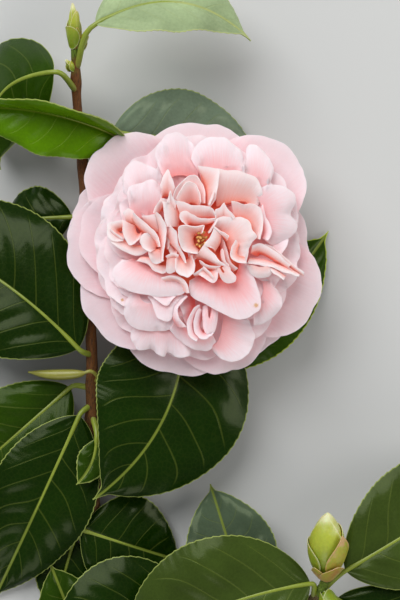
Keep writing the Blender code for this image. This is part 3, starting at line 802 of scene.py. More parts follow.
def petal_sheet(petal, cells):
    """The petal's points as rows and columns."""
    ticks = np.linspace(-1, 1, cells + 1)
    return np.array([[petal.place(*disc_place(a, b)) for a in ticks] for b in ticks])


def seen(x, y, height):
    """The point at this height up the bloom that shows at x, y from the heart's middle, from above."""
    axis = BLOOM_LEAN @ UP
    return Vector((x, y, height)) + Vector((axis.x, axis.y, 0.0)) * (HEART_TOP - height)


def fold_sheet(rim, foot, high=32.0, low=27.0, bulge=0.5, lip=0.0, frill=0.2, root=8.0):
    """The points of a folded petal, as rows from its foot to its rim.

    rim is its free edge and foot the line where it dips out of sight, both as points seen from
    above, in millimetres from the heart's middle, and high and low are their heights. bulge rounds
    the petal, lip turns its rim down and frill waves it. root is how far it goes on below its foot:
    a standing fold has one, and a fold that lies on the petals below it has none.
    """
    highs, lows = (np.linspace(*np.broadcast_to(span, 2), len(rim)) for span in (high, low))
    if root:
        lows = highs - (highs - lows) * FOLD_DEPTH
    top = smooth_route([seen(x, y, z) for (x, y), z in zip(rim, highs)], FOLD_STEPS)
    dip = smooth_route([seen(x, y, z) for (x, y), z in zip(foot, lows)], FOLD_STEPS)
    middle = sum(dip, Vector()) / len(dip)
    seed = Vector((rim[0][0], rim[-1][1], foot[0][0]))
    steps = STANDING_ROWS if root else LYING_ROWS
    start = ROOT_SHARE if root else 0.0
    faces = []
    for i, (edge, base) in enumerate(zip(top, dip)):
        ahead = top[min(i + 1, len(top) - 1)] - top[max(i - 1, 0)]
        faces.append(ahead.cross(edge - base).normalized())
    if sum(face.z for face in faces) < 0:
        faces = [-face for face in faces]
    sheet = np.zeros((steps + 1, len(top), 3))
    for j in range(steps + 1):
        for i, (edge, base, face) in enumerate(zip(top, dip, faces)):
            t = (j / steps - start) / (1 - start)
            if t < 0:
                under = base.lerp(middle, 0.5) - UP * root
                sheet[j, i] = base.lerp(under, -t * (1 - start) / start)
                continue
            along = i / (len(top) - 1)
            ends = math.sin(math.pi * min(max(along, 0.06), 0.94)) ** 0.5
            torn = 1 + 0.05 * noise.noise(seed + Vector((along * len(rim) * 1.1, 3.0, 0.0))) * t
            waves = Vector((along * len(rim), 0.0, 0.0))
            wave = 2.4 * noise.noise(seed + waves * 0.8) + 1.2 * noise.noise(seed + waves * 1.9)
            dent = noise.noise(seed + Vector((along * len(rim) * 0.5, t * 1.5, 6.0)))
            push = bulge * 4 * t * (1 - t) * ends + frill * wave * t**4 + 0.35 * dent * t - lip * t**6
            sheet[j, i] = base.lerp(edge, t * torn) + face * push
    return sheet


def as_tree(sheet):
    """The sheet as a tree of faces, to find where a line meets it."""
    rows, columns = sheet.shape[:2]
    corners = [r * columns + c for r in range(rows - 1) for c in range(columns - 1)]
    quads = [(corner, corner + 1, corner + columns + 1, corner + columns) for corner in corners]
    return BVHTree.FromPolygons([Vector(p) for p in sheet.reshape(-1, 3)], quads)


def laid_over(sheet, earlier, gap):
    """The sheet raised, softly round about, wherever the earlier sheets come through it."""
    lift = np.zeros(sheet.shape[:2])
    for index in np.ndindex(lift.shape):
        x, y, z = sheet[index]
        hits = [tree.ray_cast(Vector((x, y, ABOVE_ALL)), -UP)[0] for tree in earlier]
        highest = max((hit.z for hit in hits if hit), default=z - gap)
        lift[index] = max(0.0, highest + gap - z)
    for _ in range(SOFTENINGS):
        edge = np.pad(lift, 1, mode="edge")
        near = (edge[:-2, 1:-1] + edge[2:, 1:-1] + edge[1:-1, :-2] + edge[1:-1, 2:]) / 4
        lift = np.maximum(lift, near)
    raised = sheet.copy()
    raised[..., 2] += lift
    return raised


def disc_mark(a, b):
    """A petal's ripeness from foot to tip, its nearness to the rim and its place across."""
    x, y = disc_place(a, b)
    return (y + 1) / 2, math.hypot(x, y), x


def fold_mark(pale):
    """The marks of a fold whose lowest part is as ripe as this share of a petal."""
    return lambda a, b: (pale + (1 - pale) * (b + 1) / 2, (b + 1) / 2, a)


def petal_ring(name, sheets, finish, slot, node, thick):
    """All the sheets as closed petals in one piece. Each sheet comes with the function for its marks."""
    shape = bmesh.new()
    petal_map = shape.verts.layers.float_vector.new("petal_map")
    for sheet, mark in sheets:
        rows, columns = sheet.shape[0] - 1, sheet.shape[1] - 1

        def skin_at(a, b):
            point = sheet[round((b + 1) / 2 * rows), round((a + 1) / 2 * columns)]
            return BLOOM_STAND @ Vector(point), mark(a, b)

        lay_sheet(shape, columns, rows, skin_at, petal_map, thick)
    set_piece(name, shape, [finish], slot, node)


# Petal tissue: foot, body and tip colours along the petal, streaked lengthwise, and a paler rim.
petal_skin, skin_in, skin_out = new_group(
    "petal_skin",
    {"Map": "Vector", "Place": "Vector", "Foot": "Color", "Body": "Color", "Tip": "Color", "Rim": "Color"},
    {"Colour": "Color", "Height": "Float"},
)
parts = add_node(petal_skin, "SeparateXYZ", {0: skin_in.outputs["Map"]})
share, to_rim, _ = parts.outputs
streaks = fine_noise(petal_skin, skin_in.outputs["Map"], 1.0, 4.0, stretch=(3.0, 0.6, 34.0))
drift = calc(petal_skin, "MULTIPLY", calc(petal_skin, "SUBTRACT", streaks, 0.5), 0.22)
ripe = calc(petal_skin, "ADD", share, drift)
tissue = skin_in.outputs["Foot"]
for mask, colour in (
    (ease(petal_skin, ripe, 0.15, 0.55), "Body"),
    (ease(petal_skin, ripe, 0.5, 0.95), "Tip"),
    (ease(petal_skin, to_rim, 0.86, 1.0, 0.0, 0.3), "Rim"),
):
    tissue = mix_colour(petal_skin, mask, tissue, skin_in.outputs[colour])
tissue = toned(petal_skin, tissue, skin_in.outputs["Place"], 0.12, 0.06)
fill_outputs(petal_skin, skin_out, Colour=tissue, Height=streaks)


def petal_finish(name, foot, body, tip, rim, scorched=()):
    """scorched holds the place and radius of each small brown mark that weather has left, from above."""
    material, tree, shader = new_finish(
        name,
        Roughness=0.55,
        Subsurface_Weight=0.7,
        Subsurface_Radius=(1.0, 0.85, 0.8),
        Subsurface_Scale=1.6 * MM,
        # A faint painted glow: the petals emit a little light in their own colour, for light coming through
        # them.
        Emission_Strength=0.04,
        Sheen_Weight=0.1,
        Sheen_Roughness=0.4,
        Specular_IOR_Level=0.3,
    )
    place = place_on(tree)
    colours = {"Foot": tint(foot), "Body": tint(body), "Tip": tint(tip), "Rim": tint(rim)}
    sockets = {"Map": map_on(tree, "petal_map"), "Place": place} | colours
    skin = add_node(tree, "Group", sockets, node_tree=petal_skin)
    tissue = skin.outputs["Colour"]
    flat = add_node(tree, "VectorMath", {0: place, 1: (1.0, 1.0, 0.0)}, operation="MULTIPLY").outputs[0]
    for x, y, radius in scorched:
        centre = spot((x, y, 0))
        middle = (centre.x, centre.y, 0.0)
        apart = add_node(tree, "VectorMath", {0: flat, 1: middle}, operation="DISTANCE").outputs["Value"]
        ragged = calc(tree, "MULTIPLY", fine_noise(tree, place, 1500.0), 0.9 * radius * MM)
        mark = ease(tree, calc(tree, "ADD", apart, ragged), 0.6 * radius * MM, 1.3 * radius * MM, 0.8, 0.0)
        tissue = mix_colour(tree, mark, tissue, tint((0.62, 0.33, 0.09)))
    # The tissue colour feeds the painted glow as well as the surface.
    tree.links.new(tissue, shader.inputs["Emission Color"])
    dress(tree, shader, tissue, skin.outputs["Height"], 0.05)
    return material


GUARD = dict(width=42, height=2.5, belly=6, roll=3, cup=0.05, curl=0.4, ruffle=0.6, lobes=3)
SECOND = dict(
    width=31, height=7, belly=6, roll=5, cup=0.08, curl=0.3, ruffle=2.2, fan=0.12, notch=0.09, rag=0.03
)
THIRD = dict(
    width=26, height=11, belly=5, roll=4, cup=0.12, curl=0.3, ruffle=2.2, fan=0.18, notch=0.09, rag=0.04
)
# Each ring: the form its petals share, then each petal's bearing, reach, top and own departures from it.
RINGS = {
    "guard": [
        (GUARD, [
            (88, 50.5, 8, dict(width=48)), (160, 51, 6, dict(width=32)), (5, 44.5, 9, dict(width=40)),
            (-54, 48, 5, dict(width=34)), (-102, 50.5, 5, dict(width=46)), (134, 55, 12, dict(width=42)),
            (48, 53, 13, dict(width=42, roll=-5, notch=-0.03)), (-27, 52, 10, {}),
            (-74, 50.5, 8, dict(width=38)), (-143, 51, 8, dict(width=44)), (180, 51.5, 8, dict(width=42)),
            (173, 47, 13, dict(width=36)),
        ]),
    ],
    "broad": [
        (SECOND, [
            (-125, 44, 13, dict(width=36, ruffle=2.6)), (-94, 44.5, 13, dict(width=32, ruffle=2.6)),
            (-63, 42.5, 15, dict(width=34, ruffle=1.4)), (-40, 40, 15, dict(width=30)),
            (101, 44, 17, dict(width=22, ruffle=3.0)), (120, 42.5, 18, dict(width=34)),
            (82, 43, 19, dict(width=36, ruffle=1.8)), (62, 40, 18, {}),
            (32, 42, 19, dict(width=34, ruffle=1.5)), (11, 39.5, 19, dict(ruffle=1.7)),
            (-10, 40, 16, dict(ruffle=2.4)), (148, 40.5, 19, dict(width=32)),
            (166, 40.5, 18, dict(ruffle=2.6)), (-176, 41, 17, {}),
            (-150, 41.5, 17, dict(width=32, ruffle=1.0)), (-133, 41, 17, dict(width=28)),
            (-159, 41, 20, dict(width=34, ruffle=0.5, cup=0.25)),
        ]),
        (THIRD, [
            (-128, 37, 20, {}), (-142, 36.5, 22, dict(ruffle=1.4)), (-84, 38, 15, {}),
            (-166, 37, 22, dict(width=28, ruffle=1.0)), (158, 37, 22, {}), (172, 36, 21, dict(width=22)),
            (148, 34.5, 25, dict(ruffle=3.0)), (135, 35.5, 25, dict(width=22, twist=30, ruffle=3.0)),
            (121, 34, 25, dict(width=20, ruffle=2.8)), (111, 36.5, 23, dict(width=16)),
            (77, 36.5, 24, dict(width=20, ruffle=2.8)), (52, 34.5, 25, {}), (31, 36, 25, dict(ruffle=1.6)),
            (11, 34.5, 25, dict(ruffle=1.6)), (-32, 34, 22, dict(width=22)), (-45, 36, 19, dict(width=22)),
        ]),
    ],
}
# The folded petals on top, from the lowest up: each one's rim and foot, and its form. pale says how
# ripe its lowest part is, and gap how far it stays off the petals that it lies on.
BROAD_FOLDS = {
    "top_left": (
        [(-1, 31), (-3.4, 37), (-7, 41), (-12, 41.4), (-16, 38.6), (-18, 33.6), (-17.4, 28)],
        [(-2, 22.6), (-4, 23.6), (-6.4, 24.4), (-8.8, 24.6), (-11, 24.2), (-13, 23), (-14.4, 21.4)],
        dict(high=22, low=25.5, bulge=-0.6, frill=0.7, root=0, pale=0.3, gap=1.1),
    ),
    "top": (
        [(16.2, 25), (16, 31), (14, 35.4), (10.6, 38.6), (6, 40.2), (1, 39.4), (-2.6, 36.4), (-4.4, 31)],
        [(13, 22), (12, 23), (10.6, 23.6), (8.6, 24), (6, 24), (3.6, 24), (1.6, 23.6), (0, 23)],
        dict(high=23, low=25, bulge=1.4, frill=0.6, root=0, pale=0.4),
    ),
    "top_right": (
        [(16.4, 26), (16.2, 32), (17, 36.6), (20, 37.6), (24, 35.4), (26.6, 31), (27.6, 26), (25, 22)],
        [(16.4, 19), (17, 21), (18.2, 22.4), (20, 22.8), (21.4, 22.4), (22.6, 21.2), (23.4, 19.6),
         (23.6, 17.6)],
        dict(high=23, low=25, bulge=1.0, frill=0.5, root=0, pale=0.5),
    ),
    "right_round": (
        [(22.6, 20.6), (27, 21.8), (32, 21.4), (35.8, 18), (35.6, 13.8), (34, 10.4), (36.8, 6.6), (35, 2.6),
         (31.6, 0.4), (27, -1.8)],
        [(21, 17), (21.6, 16), (22.2, 14.6), (23, 13), (23.6, 11.4), (24, 9.6), (24, 7.6), (23.6, 5.6),
         (23, 3.6), (22, 1.6)],
        dict(high=24, bulge=2.0, root=0, pale=0.55),
    ),
    "right_inner": (
        [(23, 14), (24.4, 9), (26, 6), (26.5, 3), (25, 0)],
        [(22, 11), (22.6, 8), (23.4, 5), (23.6, 3), (23, 1)],
        dict(high=29.5, pale=0.3),
    ),
    "left_ruffle": (
        [(-30.4, 18), (-30.2, 24), (-27, 29.4), (-22.6, 29.4), (-18.4, 27.8), (-15.6, 24.4)],
        [(-25, 13.6), (-24.4, 15.6), (-22.8, 16.8), (-21, 17.2), (-19, 17), (-17.4, 15.6)],
        dict(high=25, low=25, bulge=1.0, frill=0.6, root=0, pale=0.55),
    ),
    "left_wave": (
        [(-29, 17.6), (-27.8, 20.4), (-24.5, 21.4), (-21.6, 22.2), (-18.4, 22.8), (-16, 20.4),
         (-15.4, 16.6)],
        [(-27, 7), (-26, 7.4), (-24.6, 7.8), (-22.4, 8), (-20, 8), (-18, 7.6), (-16.6, 7)],
        dict(high=28, bulge=1.4, frill=0.7, root=0, pale=0.45),
    ),
    "foot_ruffle": (
        [(-27.4, -35.6), (-26.6, -39), (-24.4, -42.4), (-20, -42), (-17.4, -43.6), (-14.6, -44.8),
         (-13, -43.2), (-10, -44.8), (-5.6, -44.6), (-3.6, -41)],
        [(-24, -32.6), (-22.6, -33.4), (-21, -34), (-19, -34.4), (-17, -34.8), (-15, -35), (-13, -35),
         (-11, -34.6), (-9, -34), (-7, -33)],
        dict(high=17, low=20, bulge=0.8, frill=0.9, root=0, pale=0.6),
    ),
    "foot_right": (
        [(14, -28.6), (18, -31.6), (20, -36), (19.4, -40.6), (17, -44.2), (12.6, -46.6), (8, -46),
         (4, -43)],
        [(9, -26), (8.4, -29), (7.8, -32), (7.4, -34.6), (6.8, -36.8), (6, -38.6), (4.8, -39.8),
         (3.2, -39.6)],
        dict(high=18, low=19, bulge=0.4, frill=0.9, root=0, pale=0.45),
    ),
    "foot_left": (
        [(-28, -21), (-30, -26), (-29.2, -30.6), (-26.4, -33.6), (-22, -34.8), (-17, -35.2), (-13, -34.4),
         (-10.4, -31), (-11, -27)],
        [(-24, -20), (-23.8, -22), (-23, -23.4), (-21.8, -24.4), (-20.2, -24.8), (-18.6, -25),
         (-17.2, -24.8), (-16, -24), (-15.4, -22.6)],
        dict(high=21, low=24, bulge=1.0, frill=0.8, root=0, pale=0.6),
    ),
    "foot_middle": (
        [(-12.6, -34.6), (-9, -38.6), (-5, -41), (-1, -42.4), (3, -42), (5, -39)],
        [(-10, -30), (-8.6, -32), (-6.4, -34), (-4, -36), (0, -36.6), (3, -35)],
        dict(high=19, low=21, bulge=0.8, frill=0.8, root=0, pale=0.5),
    ),
    # Its root is kept unripe, so it shows red low down: painted shade and glow in the hollow.
    "foot_u_outer": (
        [(-1.2, -24.6), (-3.6, -26.4), (-5.2, -29.4), (-5.8, -33), (-4.8, -37), (-2.4, -39.2)],
        [(-1.0, -26), (-2.4, -27.8), (-3.4, -30), (-3.8, -33), (-3.2, -35.6), (-1.4, -37)],
        dict(high=26, low=22, root=6, pale=0.1),
    ),
    "foot_u_inner": (
        [(-1, -26), (-2.4, -28), (-3.3, -31), (-3, -35), (-1.6, -37.6), (0.6, -38.4), (2.8, -37.4),
         (4.4, -35.6)],
        [(0, -27.4), (-0.8, -29.4), (-1.2, -31.6), (-1, -33.6), (-0.2, -35.4), (0.8, -36), (1.8, -35.4),
         (2.6, -34)],
        dict(high=25, low=21, root=6, pale=0.2),
    ),
    "foot_lobe": (
        [(0.2, -25.4), (0.2, -30), (0.6, -34.2), (2.2, -36.2), (4.4, -35), (5.6, -31.6), (5.8, -27.6)],
        [(1.8, -25), (1.9, -27.4), (2.1, -29.4), (2.7, -30.4), (3.3, -29.6), (3.7, -27.8), (3.9, -25.6)],
        dict(high=24, low=25.5, bulge=0.4, root=6, pale=0.5),
    ),
    "foot_tongue": (
        [(-21, -22), (-19.4, -24), (-18.2, -27.4), (-16.8, -30.4), (-13, -31.2), (-11.2, -29), (-10, -26),
         (-7.6, -23.8), (-5.6, -22.2)],
        [(-17.6, -19.6), (-16.8, -20.6), (-16, -21.6), (-15.2, -22.6), (-14.2, -23), (-13.2, -22.6),
         (-12.4, -21.8), (-11.6, -21), (-10.6, -20)],
        dict(high=25, low=23.5, bulge=0.8, root=6, pale=0.4),
    ),
    # Its root is kept unripe, so it shows red low down: painted shade and glow in the hollow.
    "foot_edge": (
        [(-5.4, -21.8), (-7.6, -24), (-9.6, -26.6), (-8.8, -30), (-6.2, -33.4)],
        [(-7.4, -21), (-9.6, -23.4), (-11.6, -26.4), (-11.6, -30), (-9.4, -33.4)],
        dict(high=26.5, low=22, bulge=0.8, root=6, pale=0.1),
    ),
    # A red fold laid low in the hollow under the bloom's foot: painted shade and glow, for the deep red
    # that the hollow's depth and the light through its petals give.
    "hollow_shade_fold": (
        [(-9.6, -22.4), (-9, -26), (-7.6, -30), (-6, -33)],
        [(-3.4, -22), (-3, -25), (-3, -28), (-3, -31)],
        dict(high=20, low=19, bulge=0, root=0),
    ),
    "foot_small": (
        [(-20.4, -21), (-16.8, -24), (-14.2, -25.4), (-12, -24.2), (-9.6, -21.4)],
        [(-18, -19.4), (-15.8, -20.2), (-14.2, -20.8), (-12.6, -20.2), (-11, -19.4)],
        dict(high=26.5, low=24.5, root=6, pale=0.4),
    ),
    "right_foot_back": (
        [(20.5, -14.6), (24, -15.4), (27.6, -17), (30, -20.6), (30.6, -25), (28, -29), (24, -31.6),
         (20, -32.6)],
        [(20, -11.6), (21.4, -13), (22.6, -14.6), (23.4, -16.8), (23.4, -19), (22.6, -21.4), (21, -23),
         (19, -24)],
        dict(high=21, low=23, bulge=1.0, frill=0.9, root=0, pale=0.45),
    ),
    "tongue_left": (
        [(-30.4, -8.2), (-33.6, -11.2), (-34, -14.5), (-31.8, -17.8), (-27, -19.8), (-21, -21.2),
         (-15, -21.8), (-10, -21.5), (-7, -20), (-5.6, -17.6)],
        [(-27, -7.4), (-26, -8), (-24.5, -8.8), (-22.5, -9.8), (-20.5, -10.8), (-18.5, -11.6), (-16, -12.4),
         (-13, -13), (-10.4, -13.6), (-8.4, -14.6)],
        dict(high=27, low=25.5, bulge=1.4, lip=0.4, root=0, pale=0.5),
    ),
    "tongue_right": (
        [(-4.8, -15.6), (-4.8, -18.6), (-4.2, -21.4), (-1, -23.6), (3, -25.2), (8, -28.6), (13, -29.8),
         (18, -29.2), (21.2, -26.6), (22.2, -22.6), (21, -18), (18.8, -12.6), (17, -8.4)],
        [(-1.6, -13.5), (-0.4, -14), (0.8, -14.4), (2.4, -14.8), (4, -15), (6, -15.2), (8, -15.2),
         (10, -15), (11.6, -14.4), (12.6, -13.4), (13.4, -12), (14, -10.4), (14.4, -8.2)],
        dict(high=27, low=25.5, bulge=0.8, lip=0.4, root=0, pale=0.22),
    ),
}
HEART_FOLDS = {
    "tongue_lip": (
        [(-15.6, -14.8), (-12.4, -13.8), (-9.6, -14), (-7.2, -15.2), (-5.6, -17.2), (-4.8, -20.4)],
        [(-15, -15.8), (-12.4, -15.2), (-9.8, -15.6), (-8, -16.8), (-6.9, -18.4), (-6, -20.6)],
        dict(high=30, low=28.5, root=3, pale=0.4),
    ),
    "fan_upper": (
        [(19, -2), (22, -1), (25, -2.4), (28, -4.4), (31, -7), (33.6, -9.4)],
        [(18.5, -5), (21, -4.2), (24, -5.2), (27, -7), (30, -8.8), (32.6, -10.6)],
        dict(high=29, low=25.5, root=4),
    ),
    "fan_outer": (
        [(24, -1.2), (27, -2.6), (30, -4.8), (33, -7.4), (36, -10), (39, -12.2)],
        [(25, -3.6), (27.6, -4.6), (30.4, -6.8), (33.4, -9.4), (36.4, -11.8), (38.8, -13.4)],
        dict(high=27, low=24, root=3),
    ),
    "fan_middle": (
        [(17.2, -8.6), (20, -9.2), (23, -9.6), (26, -10.2), (29, -11.2), (33, -12.6), (37, -13.8)],
        [(18, -6.8), (21, -7.2), (24, -7.6), (27, -8.6), (30, -9.6), (34, -11.2), (37, -12.8)],
        dict(high=28, low=25, root=4),
    ),
    "fan_lobe": (
        [(16.8, -9.6), (18.4, -12.6), (20.4, -14), (23.4, -14.2), (26, -13.2), (26.8, -11.4)],
        [(19, -9.4), (20.4, -9.8), (21.6, -10.2), (23, -10.2), (24.2, -10), (25, -9.8)],
        dict(high=27, low=28, root=0, pale=0.5),
    ),
    "fan_sliver": (
        [(25.8, -11.4), (28, -13.2), (31, -15.2)],
        [(26.8, -10), (28.8, -11.6), (31.8, -13.6)],
        dict(high=28, low=25.5, root=3),
    ),
    "right_back": (
        [(11, 14.8), (13.5, 14.4), (15.5, 13.6), (18.5, 13.9), (21, 13.2), (22.8, 10.6), (23.2, 7),
         (22.6, 3.6), (21.8, 0.4)],
        [(12, 8.6), (13.4, 8.6), (15, 8.6), (16.4, 8.2), (17.6, 7.2), (18.4, 6), (19, 4.6), (19.4, 3),
         (19.8, 1)],
        dict(high=31, low=26.5, bulge=-0.4),
    ),
    "tall_right": (
        [(5.6, 27.4), (10, 27), (16, 26), (20.4, 24.4), (22.6, 21.4), (23, 17.4), (21.6, 13.6)],
        [(5.4, 13), (8, 14), (11, 14.8), (14, 15.2), (16.4, 15), (17.4, 14.2), (17.6, 13)],
        dict(high=(32, 27), low=(25, 26), bulge=-0.8, lip=1.2),
    ),
    "tall_right_flap": (
        [(-1.8, 28.2), (3, 27.8), (6.4, 26.6), (6.2, 22), (5.6, 18), (4.8, 15), (3, 12.2)],
        [(-0.6, 25), (0.6, 22.6), (1.4, 20.6), (1.6, 18.6), (1.7, 16.6), (1.8, 14.6), (2, 12.6)],
        dict(low=28, bulge=0.4),
    ),
    "tall_right_sliver": (
        [(4.8, 18.8), (4.1, 16.2), (2.6, 13.2)],
        [(3.6, 18), (3, 16), (2, 13.6)],
        dict(high=33.5, low=29),
    ),
    "hood_outer": (
        [(-11, 15.5), (-10.3, 18.5), (-8, 22), (-5, 24.3), (-2.5, 24.4), (-0.6, 22), (0.5, 18.5),
         (0.6, 14)],
        [(-8.5, 14), (-7.2, 16), (-5.6, 17.6), (-4.6, 18), (-3.6, 18), (-2.6, 17.4), (-1.6, 16), (-1, 14)],
        dict(high=31, low=26, bulge=-0.4, pale=0.1),
    ),
    "hood_inner": (
        [(-9.8, 15.5), (-8.5, 18.5), (-6.5, 21.3), (-4.4, 22.2), (-2.6, 20.8), (-1.3, 18), (-0.6, 14.5)],
        [(-7, 12.5), (-6.2, 13.6), (-5, 14.2), (-4.2, 14.4), (-3.4, 14.2), (-2.4, 13.6), (-1.6, 12.5)],
        dict(low=25.5, bulge=-0.5),
    ),
    "tip_left": (
        [(-16, 20.6), (-15.2, 24), (-13.2, 26.8), (-11.8, 24), (-10.4, 20)],
        [(-15.4, 16), (-14.6, 16.8), (-13.6, 17.2), (-12.6, 16.8), (-11.8, 16)],
        dict(high=30, low=26.5, bulge=0.8),
    ),
    "star_left": (
        [(-13.8, 12), (-12.9, 15.6), (-12.2, 18.6), (-11.3, 16), (-10, 14.4)],
        [(-13, 8), (-12.4, 9.4), (-11.8, 10), (-11, 10), (-10.4, 9)],
        dict(high=33, low=28, bulge=0.6),
    ),
    "curl_left": (
        [(-18.6, 10), (-17.6, 13), (-15.4, 15.4), (-13.4, 15)],
        [(-16.8, 9), (-16, 10.6), (-15, 12), (-13.6, 12.2)],
        dict(low=28),
    ),
    "brow": (
        [(-10.4, 14.6), (-7.5, 14.4), (-5.5, 13.6), (-4, 12.9), (-1, 13), (2, 12.6), (4.2, 11.4),
         (5.2, 9.4)],
        [(-8, 8.4), (-6.5, 8), (-4.5, 7.8), (-3, 7.9), (-1, 8.1), (1, 8.3), (3, 8.4), (4.4, 8.4)],
        dict(high=33, low=28, bulge=0.3),
    ),
    "spoon": (
        [(-6.6, 5.6), (-8.2, 7.8), (-8.4, 10), (-6.5, 10.8), (-4, 9.6), (-1, 8.1), (2, 7.8), (5.2, 8)],
        [(-5.2, 5.2), (-5.4, 5.9), (-5, 6.2), (-4, 6.1), (-3, 5.8), (-1, 5.8), (1, 6), (3.5, 6.4)],
        dict(high=33, low=28.5),
    ),
    "cheek": (
        [(-15.4, 14.4), (-14.6, 11), (-14.2, 8), (-13.8, 4.6)],
        [(-9.6, 12.4), (-9.2, 9), (-9, 7), (-9.4, 4.8)],
        dict(high=33, low=28.5, bulge=0.7),
    ),
    "behind_blade": (
        [(-13, 5.4), (-12.8, 2.6), (-12.9, -0.4), (-13.2, -3.6)],
        [(-13.6, 4), (-13.5, 1.6), (-13.5, -1), (-13.6, -4)],
        dict(high=31),
    ),
    "blade_left": (
        [(-17.6, 10), (-16, 9.1), (-14.6, 7), (-13.8, 4), (-13.8, 0), (-14.2, -4), (-14.9, -8.6)],
        [(-18.6, 8.6), (-18, 6), (-17, 3.5), (-16.3, 1), (-16, -2), (-15.9, -5), (-15.9, -8.6)],
        dict(high=34, low=28),
    ),
    "spike": (
        [(-12.2, 5.2), (-10.8, 4), (-9.7, 2.8), (-9.3, 0), (-8.6, -3), (-7.2, -6), (-6.1, -9.2)],
        [(-13.4, 1.5), (-13.2, 0), (-12.8, -1.2), (-11.8, -2.4), (-10.5, -3.5), (-9, -5.2), (-7, -8.6)],
        dict(high=33, low=29, bulge=0.6),
    ),
    "cup": (
        [(0.2, 2.6), (0.8, 5.5), (-2.5, 5), (-6, 5.6), (-8.6, 5.1), (-9.3, 3), (-9.2, 0), (-8.2, -3),
         (-6.5, -4.8), (-4, -5.3), (-1.8, -5.6)],
        [(-0.9, 2), (-1, 2.6), (-1.8, 2.6), (-2.6, 2.4), (-3.3, 1.8), (-3.6, 1), (-3.6, 0), (-3.4, -1.2),
         (-3, -2.3), (-2.4, -3.2), (-1.6, -4)],
        dict(high=34, bulge=-0.3, frill=0.15),
    ),
    "under_brow": (
        [(-8, 12.4), (-4, 11.4), (0, 11), (5, 10)],
        [(-7, 7), (-4, 6.4), (0, 6.4), (4, 6.6)],
        dict(high=29.5, low=26, bulge=0.4),
    ),
    "beside_spike": (
        [(-13.4, -1.6), (-12.8, -4.4), (-11.4, -6.2), (-9.6, -5.4)],
        [(-12, -1), (-11.4, -3), (-10.4, -4.2), (-9, -4)],
        dict(high=30),
    ),
    "beside_cup": (
        [(-5.8, -4.6), (-5, -7), (-3.6, -8.4), (-2, -7.2)],
        [(-4.4, -4), (-3.8, -5.4), (-3, -6.2), (-2, -5.4)],
        dict(high=29.5, low=26),
    ),
    "right_hollow": (
        [(7.2, 1.6), (8.8, -1.6), (9.6, -5), (11, -9), (13.4, -11)],
        [(6.4, -0.6), (7, -3), (7.8, -6), (9.6, -9.8), (12, -12)],
        dict(high=30, low=26, bulge=0.4),
    ),
    "slash": (
        [(5.8, 8.2), (4.7, 6), (3.5, 4.2), (2.2, 2.6)],
        [(4.6, 7), (3.8, 5.6), (2.9, 4.2), (2, 3)],
        dict(high=33.5, low=28, bulge=0.2),
    ),
    "star_right": (
        [(4.7, 8.5), (5, 11.5), (6.8, 12.4), (8.3, 14.2), (9.4, 12), (11, 10.5), (12.2, 8.4)],
        [(5.4, 6), (6.2, 7), (7, 7.4), (8, 7.6), (8.8, 7.4), (9.6, 7.2), (10.4, 6.6)],
        dict(high=33, low=29),
    ),
    "great_right": (
        [(5, 6.8), (8, 8.6), (12, 8.6), (15.5, 8.6), (18, 6.6), (19.4, 3.6), (20.8, 1.6), (19.2, -0.6),
         (17.8, -3), (17.2, -6), (16.6, -9)],
        [(4.8, 4.2), (6.4, 3.2), (7.6, 2.2), (8.6, 1), (9, 0), (9.4, -1.2), (9.8, -2.4), (10.2, -3.6),
         (10.8, -5), (11.4, -6), (12.4, -7)],
        dict(high=(33, 30), low=28, bulge=1.1, lip=0.4, frill=0.35),
    ),
    "great_right_fold": (
        [(12.4, 0.2), (11, -3), (10.5, -5.6), (11.4, -7.6), (13.6, -8.8), (16.8, -9)],
        [(14, -1.6), (13.2, -3.5), (13, -5), (13.4, -5.8), (14.6, -6.4), (16, -6.6)],
        dict(high=32.5, low=31, bulge=-0.3, root=4),
    ),
    "sliver_right": (
        [(7.5, -3.4), (7.9, -6), (8.8, -8.2), (10.2, -9.8)],
        [(6.8, -4.4), (7.1, -6.6), (7.8, -8.6), (9.2, -10.2)],
        dict(low=28),
    ),
    "star_face": (
        [(4.6, 5), (3.6, 2.8), (2.6, 0.6), (0.6, -1.8), (3, -3.6)],
        [(7.4, 3), (7, 1), (6.6, -1), (5.6, -3), (4.6, -4.4)],
        dict(high=33.5, low=31, bulge=0.8),
    ),
    "star_line": (
        [(4.2, 4.6), (6, 3.7), (8, 2.8), (10, 1.2)],
        [(5, 2.6), (6.4, 2), (8, 1.2), (9.4, -0.4)],
        dict(high=34, low=30.5),
    ),
    "ribbon": (
        [(0.8, -1.7), (2.4, -3.5), (4.6, -5.6), (6.6, -8), (9, -10)],
        [(-2.8, -6.8), (-1, -7), (0.6, -7.5), (2.4, -8.2), (4.6, -9.4)],
        dict(high=33, low=29.5, bulge=0.9, pale=0.1),
    ),
    "ribbon_end": (
        [(8.8, -9.4), (10.4, -10.4), (10.9, -12), (12.9, -14), (12.3, -15.8), (9.8, -16.6), (7.6, -15.4),
         (6.2, -13), (5.2, -10.4)],
        [(7.6, -10.6), (7.9, -11.2), (8.2, -11.7), (8.4, -12.2), (8.2, -12.6), (7.8, -12.6), (7.4, -12.2),
         (7, -11.6), (6.6, -11)],
        dict(high=30.5, low=32, bulge=0.3, root=0, pale=0.6),
    ),
    "vee_top": (
        [(-1.2, -7.9), (1, -9.4), (4, -9.9), (7, -10.2)],
        [(-0.6, -9.6), (1.5, -10.8), (3.6, -11.4), (5.6, -11.2)],
        dict(low=29),
    ),
    "vee": (
        [(-1.6, -13.4), (1, -15), (3.6, -16.5), (5.3, -15.8), (6, -13), (5.4, -11)],
        [(0.6, -11), (1.4, -11.6), (2.4, -12), (3.2, -12), (3.8, -11.4), (4.2, -10.8)],
        dict(high=30.5, low=28.5, bulge=0.3),
    ),
    "vee_crease": (
        [(0.2, -10.4), (2, -11.5), (3.4, -12.9), (4.4, -14.4)],
